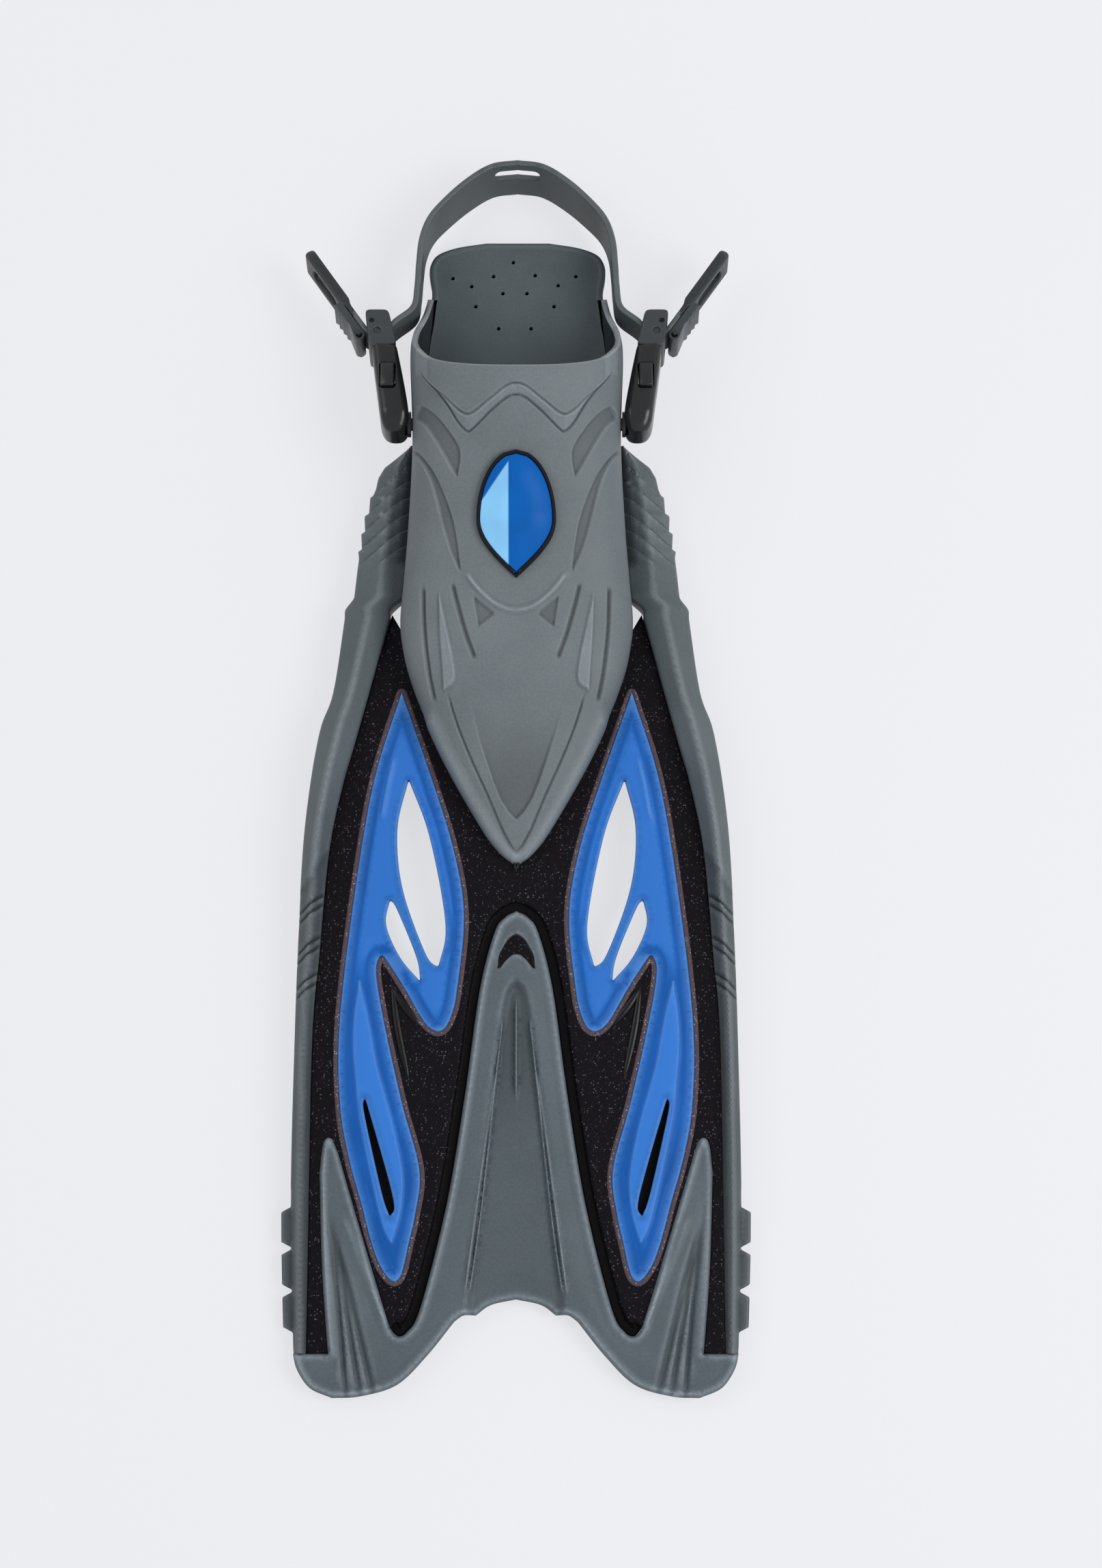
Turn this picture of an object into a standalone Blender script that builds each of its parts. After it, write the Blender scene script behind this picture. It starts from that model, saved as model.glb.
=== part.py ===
"""Open-heel swim fin with a quick-release heel strap.

The fin lies on its sole, +Z up. X runs across the blade, the heel is at +Y and the blade's tip at -Y.
Blade outlines are half outlines in percent: across the blade's half width, and along it from the tip.
"""

import math

import bmesh
import bpy
from mathutils import Vector

MM = 0.001

# Fits
SEAT_GAP = 0.3 * MM
RUNNING_GAP = 0.4 * MM
CUT_PAST = 6.0 * MM

# Blade
TIP_Y = -292.0 * MM
BLADE_LENGTH = 366.0 * MM
BLADE_HALF_WIDTH = 104.0 * MM
PANEL_THICKNESS = 4.0 * MM
INSERT_DEPTH = 2.4 * MM
INSERT_PROUD = 0.8 * MM
TIP_THICKNESS = 6.0 * MM
TIP_PROUD = 1.0 * MM
ROOT_RISE = 8.0 * MM
MID_RISE = 5.0 * MM
TONGUE_HALF_WIDTH = 30.0 * MM
TOE_OVERLAP = 7.7 * MM
RISE_LEAD = 16.0 * MM
RISE_MID_SHARE = 0.39
NOTCH_SHARE = 0.61
TIP_NOTCH_SHARE = 0.122

# Side rails
RAIL_ROOT_TOP = 31.0 * MM
RAIL_END_TOP = 12.0 * MM
RAIL_ROOT_LIFT = 5.0 * MM
BUMP_REACH = 4.4 * MM
BUMP_COUNT = 3
WING_WIDTH = 22.0 * MM
WING_END_TOP = 18.0 * MM
WING_STUD_GAP = 3.0 * MM
RAIL_ROOT_SHARE = 0.80
RAIL_CREST_SHARE = 0.35
RAIL_WAIST_SHARE = 0.45
RAIL_INNER_SHARE = 0.86

# Sole and foot pocket
OUTSOLE_THICKNESS = 4.0 * MM
FOOTBED_THICKNESS = 2.4 * MM
SOLE_LENGTH = 190.0 * MM
POCKET_HALF_WIDTH = 50.0 * MM
INSTEP_HEIGHT = 79.0 * MM
INSTEP_SETBACK = 82.0 * MM
HEEL_RIM_HEIGHT = 12.0 * MM
HEEL_RIM_SHARE = 0.15
TOE_SPRING_LENGTH = 44.0 * MM
WALL = 4.0 * MM
APRON_LENGTH = 112.0 * MM
APRON_EDGE = 3.0 * MM
DRAIN_RADIUS = 1.3 * MM
TREAD_WIDTH = 3.0 * MM
TREAD_DEPTH = 1.6 * MM
TREAD_COUNT = 7

# Badge on the instep
BADGE_LENGTH = 56.0 * MM
BADGE_HALF_WIDTH = 18.5 * MM
BADGE_WIDEST = 0.46
BADGE_HEEL_GAP = 118.0 * MM
BEZEL_WIDTH = 2.6 * MM
BEZEL_THICKNESS = 3.0 * MM
BADGE_THICKNESS = 3.6 * MM

# Heel strap and its buckles, in the strap's frame: origin on the swivel axis, Y to the heel
STUD_SETBACK = 98.3 * MM
STUD_Z = 40.0 * MM
STRAP_DROOP = math.radians(11.0)
STRAP_THICKNESS = 2.6 * MM
STRAP_PAST_HEEL = 34.1 * MM
STRAP_INSET = 4.4 * MM
STRAP_MOUTH_INSET = 5.5 * MM
STRAP_MOUTH_LEAD = 2.5 * MM
STRAP_MOUTH_RUN = 7.0 * MM
STRAP_ROLLER_LEAD = 5.0 * MM
STRAP_ROLLER_DROP = 0.6 * MM
HEEL_BAND = 29.0 * MM
BUCKLE_BAND = 18.0 * MM
STRAP_SLOT_LENGTH = 22.0 * MM
STRAP_SLOT_HEIGHT = 7.0 * MM
STRAP_SLOT_LIFT = 5.0 * MM
TAB_LENGTH = 50.0 * MM
TAB_ANGLE = math.radians(33.7)
TAB_LOOP_LENGTH = 20.0 * MM
TAB_LOOP_HEIGHT = 9.0 * MM
TAB_LOOP_END = 8.0 * MM

SOCKET_INNER_X = 51.3 * MM
SOCKET_LENGTH = 39.0 * MM
SOCKET_DEPTH = 11.0 * MM
SOCKET_HEIGHT = 24.0 * MM
SOCKET_WALL = 1.8 * MM
SOCKET_LEAN = math.radians(13.0)
SOCKET_LEAN_START = 4.0 * MM
SOCKET_NOSE = 7.5 * MM
SOCKET_CHEST = 5.0 * MM
SOCKET_SHOULDER = 8.0 * MM
STUD_RADIUS = 3.0 * MM
STUD_COLLAR_RADIUS = 6.0 * MM
STUD_HEAD_RADIUS = 5.2 * MM
STUD_HEAD_THICKNESS = 1.8 * MM
WASHER_RADIUS = 7.0 * MM
WASHER_THICKNESS = 1.6 * MM
BUTTON_LENGTH = 12.0 * MM
BUTTON_WIDTH = 6.4 * MM
BUTTON_START = 14.0 * MM
BUTTON_PROUD = 1.6 * MM
BUTTON_TRAVEL = 2.0 * MM
BUTTON_EDGE = 0.8 * MM
PRONG_HEIGHT = 11.0 * MM
PRONG_SETBACK = 1.5 * MM
CLIP_LENGTH = 20.0 * MM
CLIP_DEPTH = 13.4 * MM
CHEEK = 2.2 * MM
BRIDGE = 3.6 * MM
ROLLER_RADIUS = 2.5 * MM
PIN_RADIUS = 1.3 * MM
LEVER_LENGTH = 17.0 * MM
LEVER_HEEL = 1.0 * MM
LEVER_THICKNESS = 3.2 * MM
LEVER_PIN_RADIUS = 1.2 * MM
LEVER_EYE_RADIUS = 2.6 * MM
EAR_WALL = 1.0 * MM
CLIP_FRONT_LAP = 0.5 * MM
CLIP_BRIDGE_LAP = 1.0 * MM
CLIP_REAR_LAP = 2.0 * MM
CLIP_REAR_TAPER = 3.0 * MM
THROAT_WALL = 1.2 * MM
THROAT_MOUTH = 0.4 * MM
LEVER_PIN_ANGLE = math.radians(45.0)

# Levels of the flat stack, before the blade's rise is added
CORE_LOW = OUTSOLE_THICKNESS + SEAT_GAP
CORE_HIGH = CORE_LOW + PANEL_THICKNESS
BED_LOW = CORE_HIGH + SEAT_GAP
BED_HIGH = BED_LOW + FOOTBED_THICKNESS
TOE_Y = TIP_Y + BLADE_LENGTH - TOE_OVERLAP
HEEL_Y = TOE_Y + SOLE_LENGTH
FLAT_SOLE_Y = TOE_Y + TOE_SPRING_LENGTH
RISE_TOP_Y = TOE_Y - RISE_LEAD
RISE_MID_Y = TIP_Y + RISE_MID_SHARE * BLADE_LENGTH
STUD_Y = HEEL_Y - STUD_SETBACK
STRAP_REACH = STUD_SETBACK + STRAP_PAST_HEEL

COLOURS = {
    "rubber": (0.145, 0.165, 0.178),
    "rail": (0.105, 0.133, 0.138),
    "core": (0.010, 0.008, 0.009),
    "blue": (0.023, 0.122, 0.578),
    "gloss": (0.020, 0.025, 0.027),
    "strap": (0.042, 0.050, 0.054),
    "steel": (0.55, 0.56, 0.57),
}
FINISH = {
    "rubber": (0.62, 0.0),
    "rail": (0.55, 0.0),
    "core": (0.70, 0.0),
    "blue": (0.35, 0.0),
    "gloss": (0.22, 0.0),
    "strap": (0.55, 0.0),
    "steel": (0.30, 1.0),
}

# Half outlines of the blade in percent, each a list of smooth runs that meet at corners
PANEL_SIDE = [(56.7, 99.7), (72.4, 83.1), (77.9, 77.5), (83.9, 68.9), (88.0, 55.2), (90.9, 42.9), (92.1, 5.4)]
PANEL_END = [
    [(92.1, 5.4), (82.6, 5.4)],
    [(82.6, 5.4), (85.5, 16.0), (87.0, 27.9)],
    [(87.0, 27.9), (85.4, 31.6), (82.0, 32.2), (78.9, 30.4)],
    [(78.9, 30.4), (71.6, 23.4), (61.0, 13.5), (55.6, 8.6)],
    [(55.6, 8.6), (52.4, 7.6), (47.9, 8.1), (41.9, 11.2), (30.5, 24.1), (22.5, 38.0), (16.2, 51.0), (0.0, 61.0)],
]
TIP_BLANK = [(0.0, 63.0), (20.0, 63.0), (89.0, 34.0), (89.6, 5.4), (98.0, 5.4)]
TIP_EDGE = [
    [(98.0, 5.4), (96.0, 3.4), (90.4, 1.2), (80.8, 0.0)],
    [(80.8, 0.0), (68.6, 0.2), (52.4, 1.6), (39.2, 5.2), (27.3, 9.4)],
    [(27.3, 9.4), (23.1, 10.2), (17.7, 10.2)],
    [(17.7, 10.2), (11.1, 11.5), (0.0, 12.2)],
]
INSERT_EDGE = [
    [(51.9, 89.6), (64.4, 77.9), (72.7, 63.4), (79.0, 47.0), (78.5, 36.4), (74.3, 29.6), (68.8, 24.1),
     (64.9, 19.9), (61.0, 16.7), (56.5, 14.7), (53.8, 14.2)],
    [(53.8, 14.2), (51.3, 14.6), (49.3, 16.1), (47.1, 19.0), (44.4, 22.5), (42.4, 28.2), (50.3, 36.6),
     (58.5, 46.8), (62.3, 53.3), (60.2, 55.5)],
    [(60.2, 55.5), (50.7, 51.4), (42.0, 47.1), (37.4, 45.8), (34.3, 45.5)],
    [(34.3, 45.5), (31.3, 46.1), (28.5, 47.8), (26.3, 50.6), (23.1, 60.2), (27.5, 68.5), (38.1, 78.3),
     (51.9, 89.6)],
]
LARGE_VENT = [
    [(48.6, 78.0), (53.5, 71.6), (51.0, 63.9), (40.4, 55.5), (34.8, 53.8)],
    [(34.8, 53.8), (31.7, 59.3), (39.1, 70.6), (48.6, 78.0)],
]
SMALL_VENT = [
    [(56.7, 62.5), (58.3, 59.3), (51.9, 55.1), (42.8, 52.0)],
    [(42.8, 52.0), (44.6, 55.1), (53.7, 61.4), (56.7, 62.5)],
]
SLIT = [
    [(67.3, 37.2), (67.5, 35.5), (59.4, 25.4), (55.7, 22.4)],
    [(55.7, 22.4), (54.2, 24.6), (65.4, 35.8), (67.3, 37.2)],
]
RAIL_OUTER = [(77.5, 100.0), (82.7, 89.2), (88.9, 83.6), (94.9, 71.6), (97.4, 57.9), (98.8, 44.5), (99.8, 23.5),
              (98.3, 7.1), (98.0, 5.4)]

# Pocket sections in percent: place along the sole from the toe, half width at the base, greatest half
# width and its height, height of the arch
POCKET_SECTIONS = [
    (0, 107, 109, 24, 50),
    (10, 104, 106, 28, 57),
    (23, 98, 102, 34, 70),
    (44, 91, 98, 40, 89),
    (64, 85, 100, 48, 100),
    (70.5, 84, 97.5, 45, 100),
    (75, 83, 92.5, 40, 100),
    (79, 82, 87, 35, 100),
    (86, 81, 82, 25, 100),
    (91.5, 84.5, 84.5, 25, 100),
    (94.5, 83, 83, 25, 100),
    (97, 76, 76, 25, 100),
    (98.8, 58, 58, 25, 100),
    (100, 30, 30, 25, 100),
]
# Apron in percent: place along it from the toe, half width and height as shares of those at the toe
APRON_SECTIONS = [(0.5, 100, 100), (13, 97, 91), (27, 89, 78), (45, 74, 61), (60, 59, 46), (75, 42, 31), (88, 26, 18),
                  (96, 13, 8), (100, 3, 3)]
# Drain holes: distance across and distance from the heel edge
DRAINS = [(-2, 10), (-31, 18), (-11.5, 17), (8.5, 16.5), (28, 17), (-22, 22), (19.5, 21.5), (-7, 25.5), (4.5, 25.5),
          (-20, 32), (17.5, 32), (-9, 43), (6.5, 43)]

parts = bpy.data.collections.new("swim_fin")
cutters = bpy.data.collections.new("cutters")


def clear_scene():
    for thing in list(bpy.data.objects):
        bpy.data.objects.remove(thing, do_unlink=True)
    for group in (parts, cutters):
        bpy.context.scene.collection.children.link(group)


def material(name, kind):
    made = bpy.data.materials.new(name + "_material")
    made.use_nodes = True
    shader = made.node_tree.nodes["Principled BSDF"]
    shader.inputs["Base Color"].default_value = (*COLOURS[kind], 1.0)
    roughness, metallic = FINISH[kind]
    shader.inputs["Roughness"].default_value = roughness
    shader.inputs["Metallic"].default_value = metallic
    return made


def add_part(name, mesh, kind, parent=None, location=(0, 0, 0), smooth=None):
    thing = bpy.data.objects.new(name, mesh)
    parts.objects.link(thing)
    mesh.materials.clear()
    mesh.materials.append(material(name, kind))
    thing.location = location
    thing.parent = parent
    if smooth:
        mesh.shade_smooth()
        mesh.set_sharp_from_angle(angle=math.radians(smooth))
    return thing


def add_cutter(name, mesh, parent=None, location=(0, 0, 0)):
    thing = bpy.data.objects.new(name, mesh)
    cutters.objects.link(thing)
    thing.location = location
    thing.parent = parent
    thing.hide_render = True
    thing.display_type = "WIRE"
    return thing


def cut(thing, cutter):
    step = thing.modifiers.new(cutter.name, "BOOLEAN")
    step.operation = "DIFFERENCE"
    step.solver = "EXACT"
    step.object = cutter


def to_mesh(bm, name):
    bmesh.ops.recalc_face_normals(bm, faces=bm.faces)
    if bm.calc_volume(signed=True) < 0:
        bmesh.ops.reverse_faces(bm, faces=bm.faces)
    mesh = bpy.data.meshes.new(name)
    bm.to_mesh(mesh)
    bm.free()
    return mesh


def smooth_run(points, steps):
    """Catmull-Rom curve through the points; a run of two points stays straight."""
    if len(points) == 2:
        return [Vector(points[0]), Vector(points[1])]
    knots = [Vector(point) for point in points]
    knots = [2 * knots[0] - knots[1]] + knots + [2 * knots[-1] - knots[-2]]
    curve = []
    for before, start, end, after in zip(knots, knots[1:], knots[2:], knots[3:]):
        for step in range(steps):
            t = step / steps
            curve.append(0.5 * (2 * start + (end - before) * t
                                + (2 * before - 5 * start + 4 * end - after) * t * t
                                + (3 * start - before - 3 * end + after) * t * t * t))
    return curve + [Vector(points[-1])]


def joined_runs(runs, steps=3):
    outline = []
    for run in runs:
        outline += smooth_run(run, steps)[:-1]
    return outline


def on_blade(points, side=1):
    """Percent points to metres, on the right (side 1) or left (side -1) half of the blade."""
    return [Vector((side * x / 100 * BLADE_HALF_WIDTH, TIP_Y + y / 100 * BLADE_LENGTH)) for x, y in points]


def grown(outline, margin):
    """The outline moved outward by the margin, inward where it is negative."""
    count = len(outline)
    area = sum(outline[i - 1].x * outline[i].y - outline[i].x * outline[i - 1].y for i in range(count))
    turn = math.copysign(1, area)
    moved = []
    for i, point in enumerate(outline):
        into = (point - outline[i - 1]).normalized()
        away = (outline[(i + 1) % count] - point).normalized()
        normal = (Vector((into.y, -into.x)) + Vector((away.y, -away.x))).normalized() * turn
        spread = max(0.5, normal.dot(Vector((into.y, -into.x)) * turn))
        moved.append(point + normal * margin / spread)
    return moved


def plate_mesh(name, loops, low, high):
    """A flat plate with the loops as its outline and holes."""
    curve = bpy.data.curves.new(name, "CURVE")
    curve.dimensions = "2D"
    curve.fill_mode = "BOTH"
    curve.extrude = (high - low) / 2
    for loop in loops:
        spline = curve.splines.new("POLY")
        spline.points.add(len(loop) - 1)
        for knot, point in zip(spline.points, loop):
            knot.co = (point[0], point[1], 0, 1)
        spline.use_cyclic_u = True
    carrier = bpy.data.objects.new(name, curve)
    bpy.context.scene.collection.objects.link(carrier)
    bpy.context.view_layer.update()
    mesh = bpy.data.meshes.new_from_object(carrier.evaluated_get(bpy.context.evaluated_depsgraph_get()))
    bpy.data.objects.remove(carrier)
    bm = bmesh.new()
    bm.from_mesh(mesh)
    bmesh.ops.remove_doubles(bm, verts=bm.verts, dist=MM * 0.001)
    bmesh.ops.translate(bm, verts=bm.verts, vec=(0, 0, (low + high) / 2))
    return to_mesh(bm, name)


def blade_rise(y):
    """How far the flat stack is lifted at a place along the fin."""
    knots = [(TIP_Y, 0), (RISE_MID_Y, MID_RISE), (RISE_TOP_Y, ROOT_RISE), (FLAT_SOLE_Y, 0)]
    if y <= knots[0][0]:
        return 0
    for (start, low), (end, high) in zip(knots, knots[1:]):
        if y <= end:
            return low + (high - low) * (y - start) / (end - start)
    return 0


def reshaped(mesh, lift, across=(), along=()):
    """The mesh split along the given lines, then lifted by lift(x, y)."""
    bm = bmesh.new()
    bm.from_mesh(mesh)
    bmesh.ops.triangulate(bm, faces=bm.faces)
    for axis, places in (((1, 0, 0), across), ((0, 1, 0), along)):
        for place in places:
            everything = bm.verts[:] + bm.edges[:] + bm.faces[:]
            bmesh.ops.bisect_plane(bm, geom=everything, dist=MM * 0.001,
                                   plane_co=Vector(axis) * place, plane_no=axis)
    for vert in bm.verts:
        vert.co.z += lift(vert.co.x, vert.co.y)
    bmesh.ops.triangulate(bm, faces=bm.faces)
    bm.to_mesh(mesh)
    bm.free()
    return mesh


def risen(mesh):
    return reshaped(mesh, lambda x, y: blade_rise(y), along=(RISE_MID_Y, RISE_TOP_Y, FLAT_SOLE_Y))


def loft_mesh(name, rings):
    """A closed solid through rings with equal numbers of points."""
    bm = bmesh.new()
    loops = [[bm.verts.new(point) for point in ring] for ring in rings]
    for first, second in zip(loops, loops[1:]):
        for i in range(len(first)):
            bm.faces.new((first[i - 1], first[i], second[i], second[i - 1]))
    bm.faces.new(loops[0])
    bm.faces.new(loops[-1])
    bmesh.ops.triangulate(bm, faces=bm.faces)
    return to_mesh(bm, name)


def block_mesh(name, low, high):
    bm = bmesh.new()
    bmesh.ops.create_cube(bm, size=1)
    size = Vector(high) - Vector(low)
    bmesh.ops.scale(bm, verts=bm.verts, vec=size)
    bmesh.ops.translate(bm, verts=bm.verts, vec=(Vector(high) + Vector(low)) / 2)
    return to_mesh(bm, name)


def rod_mesh(name, radius, start, end, axis="Z", segments=24):
    bm = bmesh.new()
    bmesh.ops.create_cone(bm, cap_ends=True, segments=segments, radius1=radius, radius2=radius,
                          depth=end - start)
    bmesh.ops.translate(bm, verts=bm.verts, vec=(0, 0, (start + end) / 2))
    if axis == "X":
        for vert in bm.verts:
            vert.co = (vert.co.z, vert.co.x, vert.co.y)
    return to_mesh(bm, name)


def turned_part(name, profile, kind, parent=None, location=(0, 0, 0), axis="Z", segments=24):
    """A solid of revolution: (radius, height) points run down its outer side."""
    bm = bmesh.new()
    verts = [bm.verts.new((radius, 0, height)) for radius, height in profile]
    for first, second in zip(verts, verts[1:]):
        bm.edges.new((first, second))
    if profile[0][0] > 0:
        bm.edges.new((verts[-1], verts[0]))
    mesh = bpy.data.meshes.new(name)
    bm.to_mesh(mesh)
    bm.free()
    thing = add_part(name, mesh, kind, parent, location)
    if axis == "X":
        thing.rotation_euler = (0, math.pi / 2, 0)
    screw = thing.modifiers.new("turn", "SCREW")
    screw.steps = segments
    screw.render_steps = segments
    screw.use_merge_vertices = True
    screw.merge_threshold = MM * 0.01
    screw.use_smooth_shade = True
    return thing


def pocket_section(y):
    """Base half width, greatest half width, its height and the arch's height behind the toe, in metres."""
    place = (y - TOE_Y) / SOLE_LENGTH * 100
    rows = POCKET_SECTIONS
    for first, second in zip(rows, rows[1:]):
        if place <= second[0] or second is rows[-1]:
            t = (place - first[0]) / (second[0] - first[0])
            base, widest, level, height = (a + (b - a) * t for a, b in zip(first[1:], second[1:]))
            break
    scale_x = POCKET_HALF_WIDTH / 100
    scale_z = INSTEP_HEIGHT / 100
    return base * scale_x, widest * scale_x, level * scale_z, height * scale_z


ARCH_POWER = 3.0
ARCH_STEPS = 9
LEAST_BULGE = 0.5 * MM


def arch_ring(y, base, widest, level, height, foot):
    """One closed arch section at a place along the fin, on the flat stack."""
    widest = max(widest, base + LEAST_BULGE)
    side = [(base, foot), (base + 0.6 * (widest - base), foot + 0.35 * (level - foot))]
    for step in range(ARCH_STEPS):
        angle = math.pi / 2 * step / ARCH_STEPS
        across = widest * math.cos(angle) ** (2 / ARCH_POWER)
        side.append((across, level + (height - level) * math.sin(angle) ** (2 / ARCH_POWER)))
    right = [Vector((x, y, z + blade_rise(y))) for x, z in side]
    crown = Vector((0, y, height + blade_rise(y)))
    left = [Vector((-point.x, point.y, point.z)) for point in reversed(right)]
    return right + [crown] + left


def pocket_surface(x, y):
    """Height of the pocket's outside over a point near its crown."""
    _, widest, level, height = pocket_section(y)
    share = min(1.0, abs(x) / widest)
    return level + (height - level) * (1 - share ** ARCH_POWER) ** (1 / ARCH_POWER) + blade_rise(y)


def hollow_half_width(y, z):
    """Half width of the foot hollow at a height above its widest level."""
    _, widest, level, height = pocket_section(y)
    rise = max(0, z - level) / (height - WALL - level)
    return (widest - WALL) * (1 - rise ** ARCH_POWER) ** (1 / ARCH_POWER)


def section_places():
    return [TOE_Y + row[0] / 100 * SOLE_LENGTH for row in POCKET_SECTIONS]


def make_foot_pocket():
    rings = []
    base, widest, level, height = pocket_section(TOE_Y)
    for place, width, tall in reversed(APRON_SECTIONS):
        y = TOE_Y - place / 100 * APRON_LENGTH
        top = BED_LOW + APRON_EDGE + (height - BED_LOW - APRON_EDGE) * tall / 100
        shoulder = BED_LOW + APRON_EDGE + (level - BED_LOW - APRON_EDGE) * tall / 100
        rings.append(arch_ring(y, widest * width / 100, widest * width / 100, shoulder, top, BED_LOW))
    for y in sorted(section_places() + [FLAT_SOLE_Y, BADGE_MID_Y]):
        rings.append(arch_ring(y, *pocket_section(y), CORE_LOW))
    pocket = add_part("foot_pocket", loft_mesh("foot_pocket", rings), "rubber", smooth=35)

    hollow = []
    start = TOE_Y + WALL
    end = HEEL_Y - WALL
    for y in [start] + [y for y in sorted(section_places() + [FLAT_SOLE_Y]) if start < y < end] + [end]:
        base, widest, level, height = pocket_section(y if y < end else HEEL_Y - SEAT_GAP)
        ring = arch_ring(y, base - WALL, widest - WALL, level, height - WALL, CORE_LOW - CUT_PAST)
        hollow.append(ring)
    cut(pocket, add_cutter("foot_hollow", loft_mesh("foot_hollow", hollow)))

    lip_y = HEEL_Y - INSTEP_SETBACK
    fall_y = HEEL_Y - HEEL_RIM_SHARE * SOLE_LENGTH
    far = INSTEP_HEIGHT + CUT_PAST * 4
    wide = POCKET_HALF_WIDTH * 1.5
    slope = (INSTEP_HEIGHT - HEEL_RIM_HEIGHT) / (fall_y - lip_y)
    lead = lip_y - (far - INSTEP_HEIGHT) / slope
    past = HEEL_Y + CUT_PAST
    profile = [(lead, far), (fall_y, HEEL_RIM_HEIGHT), (past, HEEL_RIM_HEIGHT), (past, far)]
    rings = [[(x, y, z) for y, z in profile] for x in (-wide, wide)]
    cut(pocket, add_cutter("ankle_opening", loft_mesh("ankle_opening", rings)))

    slot_low = (-TONGUE_HALF_WIDTH - SEAT_GAP, TOE_Y - 3 * SEAT_GAP, -CUT_PAST)
    slot_high = (TONGUE_HALF_WIDTH + SEAT_GAP, TOE_Y + WALL + CUT_PAST, BED_LOW + SEAT_GAP)
    slot = risen(block_mesh("tongue_slot", slot_low, slot_high))
    cut(pocket, add_cutter("tongue_slot", slot))
    hole = rod_mesh("stud_hole", STUD_RADIUS + SEAT_GAP, -wide, wide, axis="X")
    cut(pocket, add_cutter("stud_hole", hole, location=(0, STUD_Y, STUD_Z)))


def sole_outline(margin):
    """Outline of the sole inside the pocket's base, by the margin, from the toe to the heel."""
    places = [TOE_Y] + [y for y in section_places() if TOE_Y < y < HEEL_Y - SEAT_GAP]
    right = []
    for y in places:
        right.append(Vector((pocket_section(y)[0], y)))
    right.append(Vector((pocket_section(HEEL_Y)[0], HEEL_Y)))
    left = [Vector((-point.x, point.y)) for point in reversed(right)]
    return grown(right + left, -margin)


def make_sole():
    outsole = risen(plate_mesh("outsole", [sole_outline(0)], 0, OUTSOLE_THICKNESS))
    outsole = add_part("outsole", outsole, "rail")
    pitch = (HEEL_Y - FLAT_SOLE_Y) / (TREAD_COUNT + 1)
    for i in range(TREAD_COUNT):
        y = FLAT_SOLE_Y + pitch * (i + 1)
        groove = block_mesh("tread_groove", (-POCKET_HALF_WIDTH * 1.5, y - TREAD_WIDTH / 2, -CUT_PAST),
                            (POCKET_HALF_WIDTH * 1.5, y + TREAD_WIDTH / 2, TREAD_DEPTH))
        cut(outsole, add_cutter("tread_groove_%d" % i, groove))

    bed = sole_outline(WALL + SEAT_GAP)
    loops = [bed]
    for across, back in DRAINS:
        centre = Vector((across * MM, HEEL_Y - back * MM))
        turns = [math.tau * i / 8 for i in range(8)]
        loops.append([centre + DRAIN_RADIUS * Vector((math.cos(a), math.sin(a))) for a in turns])
    add_part("footbed", risen(plate_mesh("footbed", loops, BED_LOW, BED_HIGH)), "rubber")


def panel_outline():
    side = [point for point in on_blade(smooth_run(PANEL_SIDE, 3))]
    end = on_blade(joined_runs(PANEL_END))
    horn_x = pocket_section(TOE_Y)[1] + SEAT_GAP
    rear_y = TOE_Y - 2 * SEAT_GAP
    tongue_y = HEEL_Y - WALL - CUT_PAST
    tongue = [Vector((TONGUE_HALF_WIDTH, tongue_y)), Vector((TONGUE_HALF_WIDTH, rear_y)), Vector((horn_x, rear_y))]
    right = tongue + side[:-1] + end
    left = [Vector((-point.x, point.y)) for point in reversed(right)]
    return right + [Vector((0, TIP_Y + NOTCH_SHARE * BLADE_LENGTH))] + left


def make_blade():
    outline = panel_outline()
    vents = [on_blade(joined_runs(vent), side) for vent in (LARGE_VENT, SMALL_VENT) for side in (1, -1)]
    core = plate_mesh("blade_panel", [outline] + [grown(vent, SEAT_GAP) for vent in vents], CORE_LOW, CORE_HIGH)
    panel = add_part("blade_panel", risen(core), "core")
    edges = {side: on_blade(joined_runs(INSERT_EDGE), side) for side in (1, -1)}
    recess = plate_mesh("insert_recess", [grown(edge, SEAT_GAP) for edge in edges.values()],
                        CORE_HIGH - INSERT_DEPTH, CORE_HIGH + CUT_PAST)
    cut(panel, add_cutter("insert_recess", risen(recess)))

    for side, name in ((1, "right_insert"), (-1, "left_insert")):
        loops = [edges[side]] + [on_blade(joined_runs(hole), side) for hole in (LARGE_VENT, SMALL_VENT, SLIT)]
        low = CORE_HIGH - INSERT_DEPTH + SEAT_GAP
        add_part(name, risen(plate_mesh(name, loops, low, CORE_HIGH + INSERT_PROUD)), "blue")

    half = on_blade(TIP_BLANK[:-1] + joined_runs(TIP_EDGE))
    blank = half + [Vector((0, TIP_Y + TIP_NOTCH_SHARE * BLADE_LENGTH))]
    blank += [Vector((-point.x, point.y)) for point in reversed(half[1:])]
    low = CORE_HIGH + TIP_PROUD - TIP_THICKNESS
    tip = add_part("blade_tip", risen(plate_mesh("blade_tip", [blank], low, CORE_HIGH + TIP_PROUD)), "rail")
    keep = plate_mesh("panel_room", [grown(outline, SEAT_GAP)], low - CUT_PAST, CORE_HIGH + CUT_PAST)
    cut(tip, add_cutter("panel_room", risen(keep)))


def along_points(points, y):
    """Half width of a curve of (half width, place) points at a place along the fin."""
    for first, second in zip(points, points[1:]):
        if min(first.y, second.y) <= y <= max(first.y, second.y):
            return first.x + (second.x - first.x) * (y - first.y) / (second.y - first.y)
    return points[0].x if abs(y - points[0].y) < abs(y - points[-1].y) else points[-1].x


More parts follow.
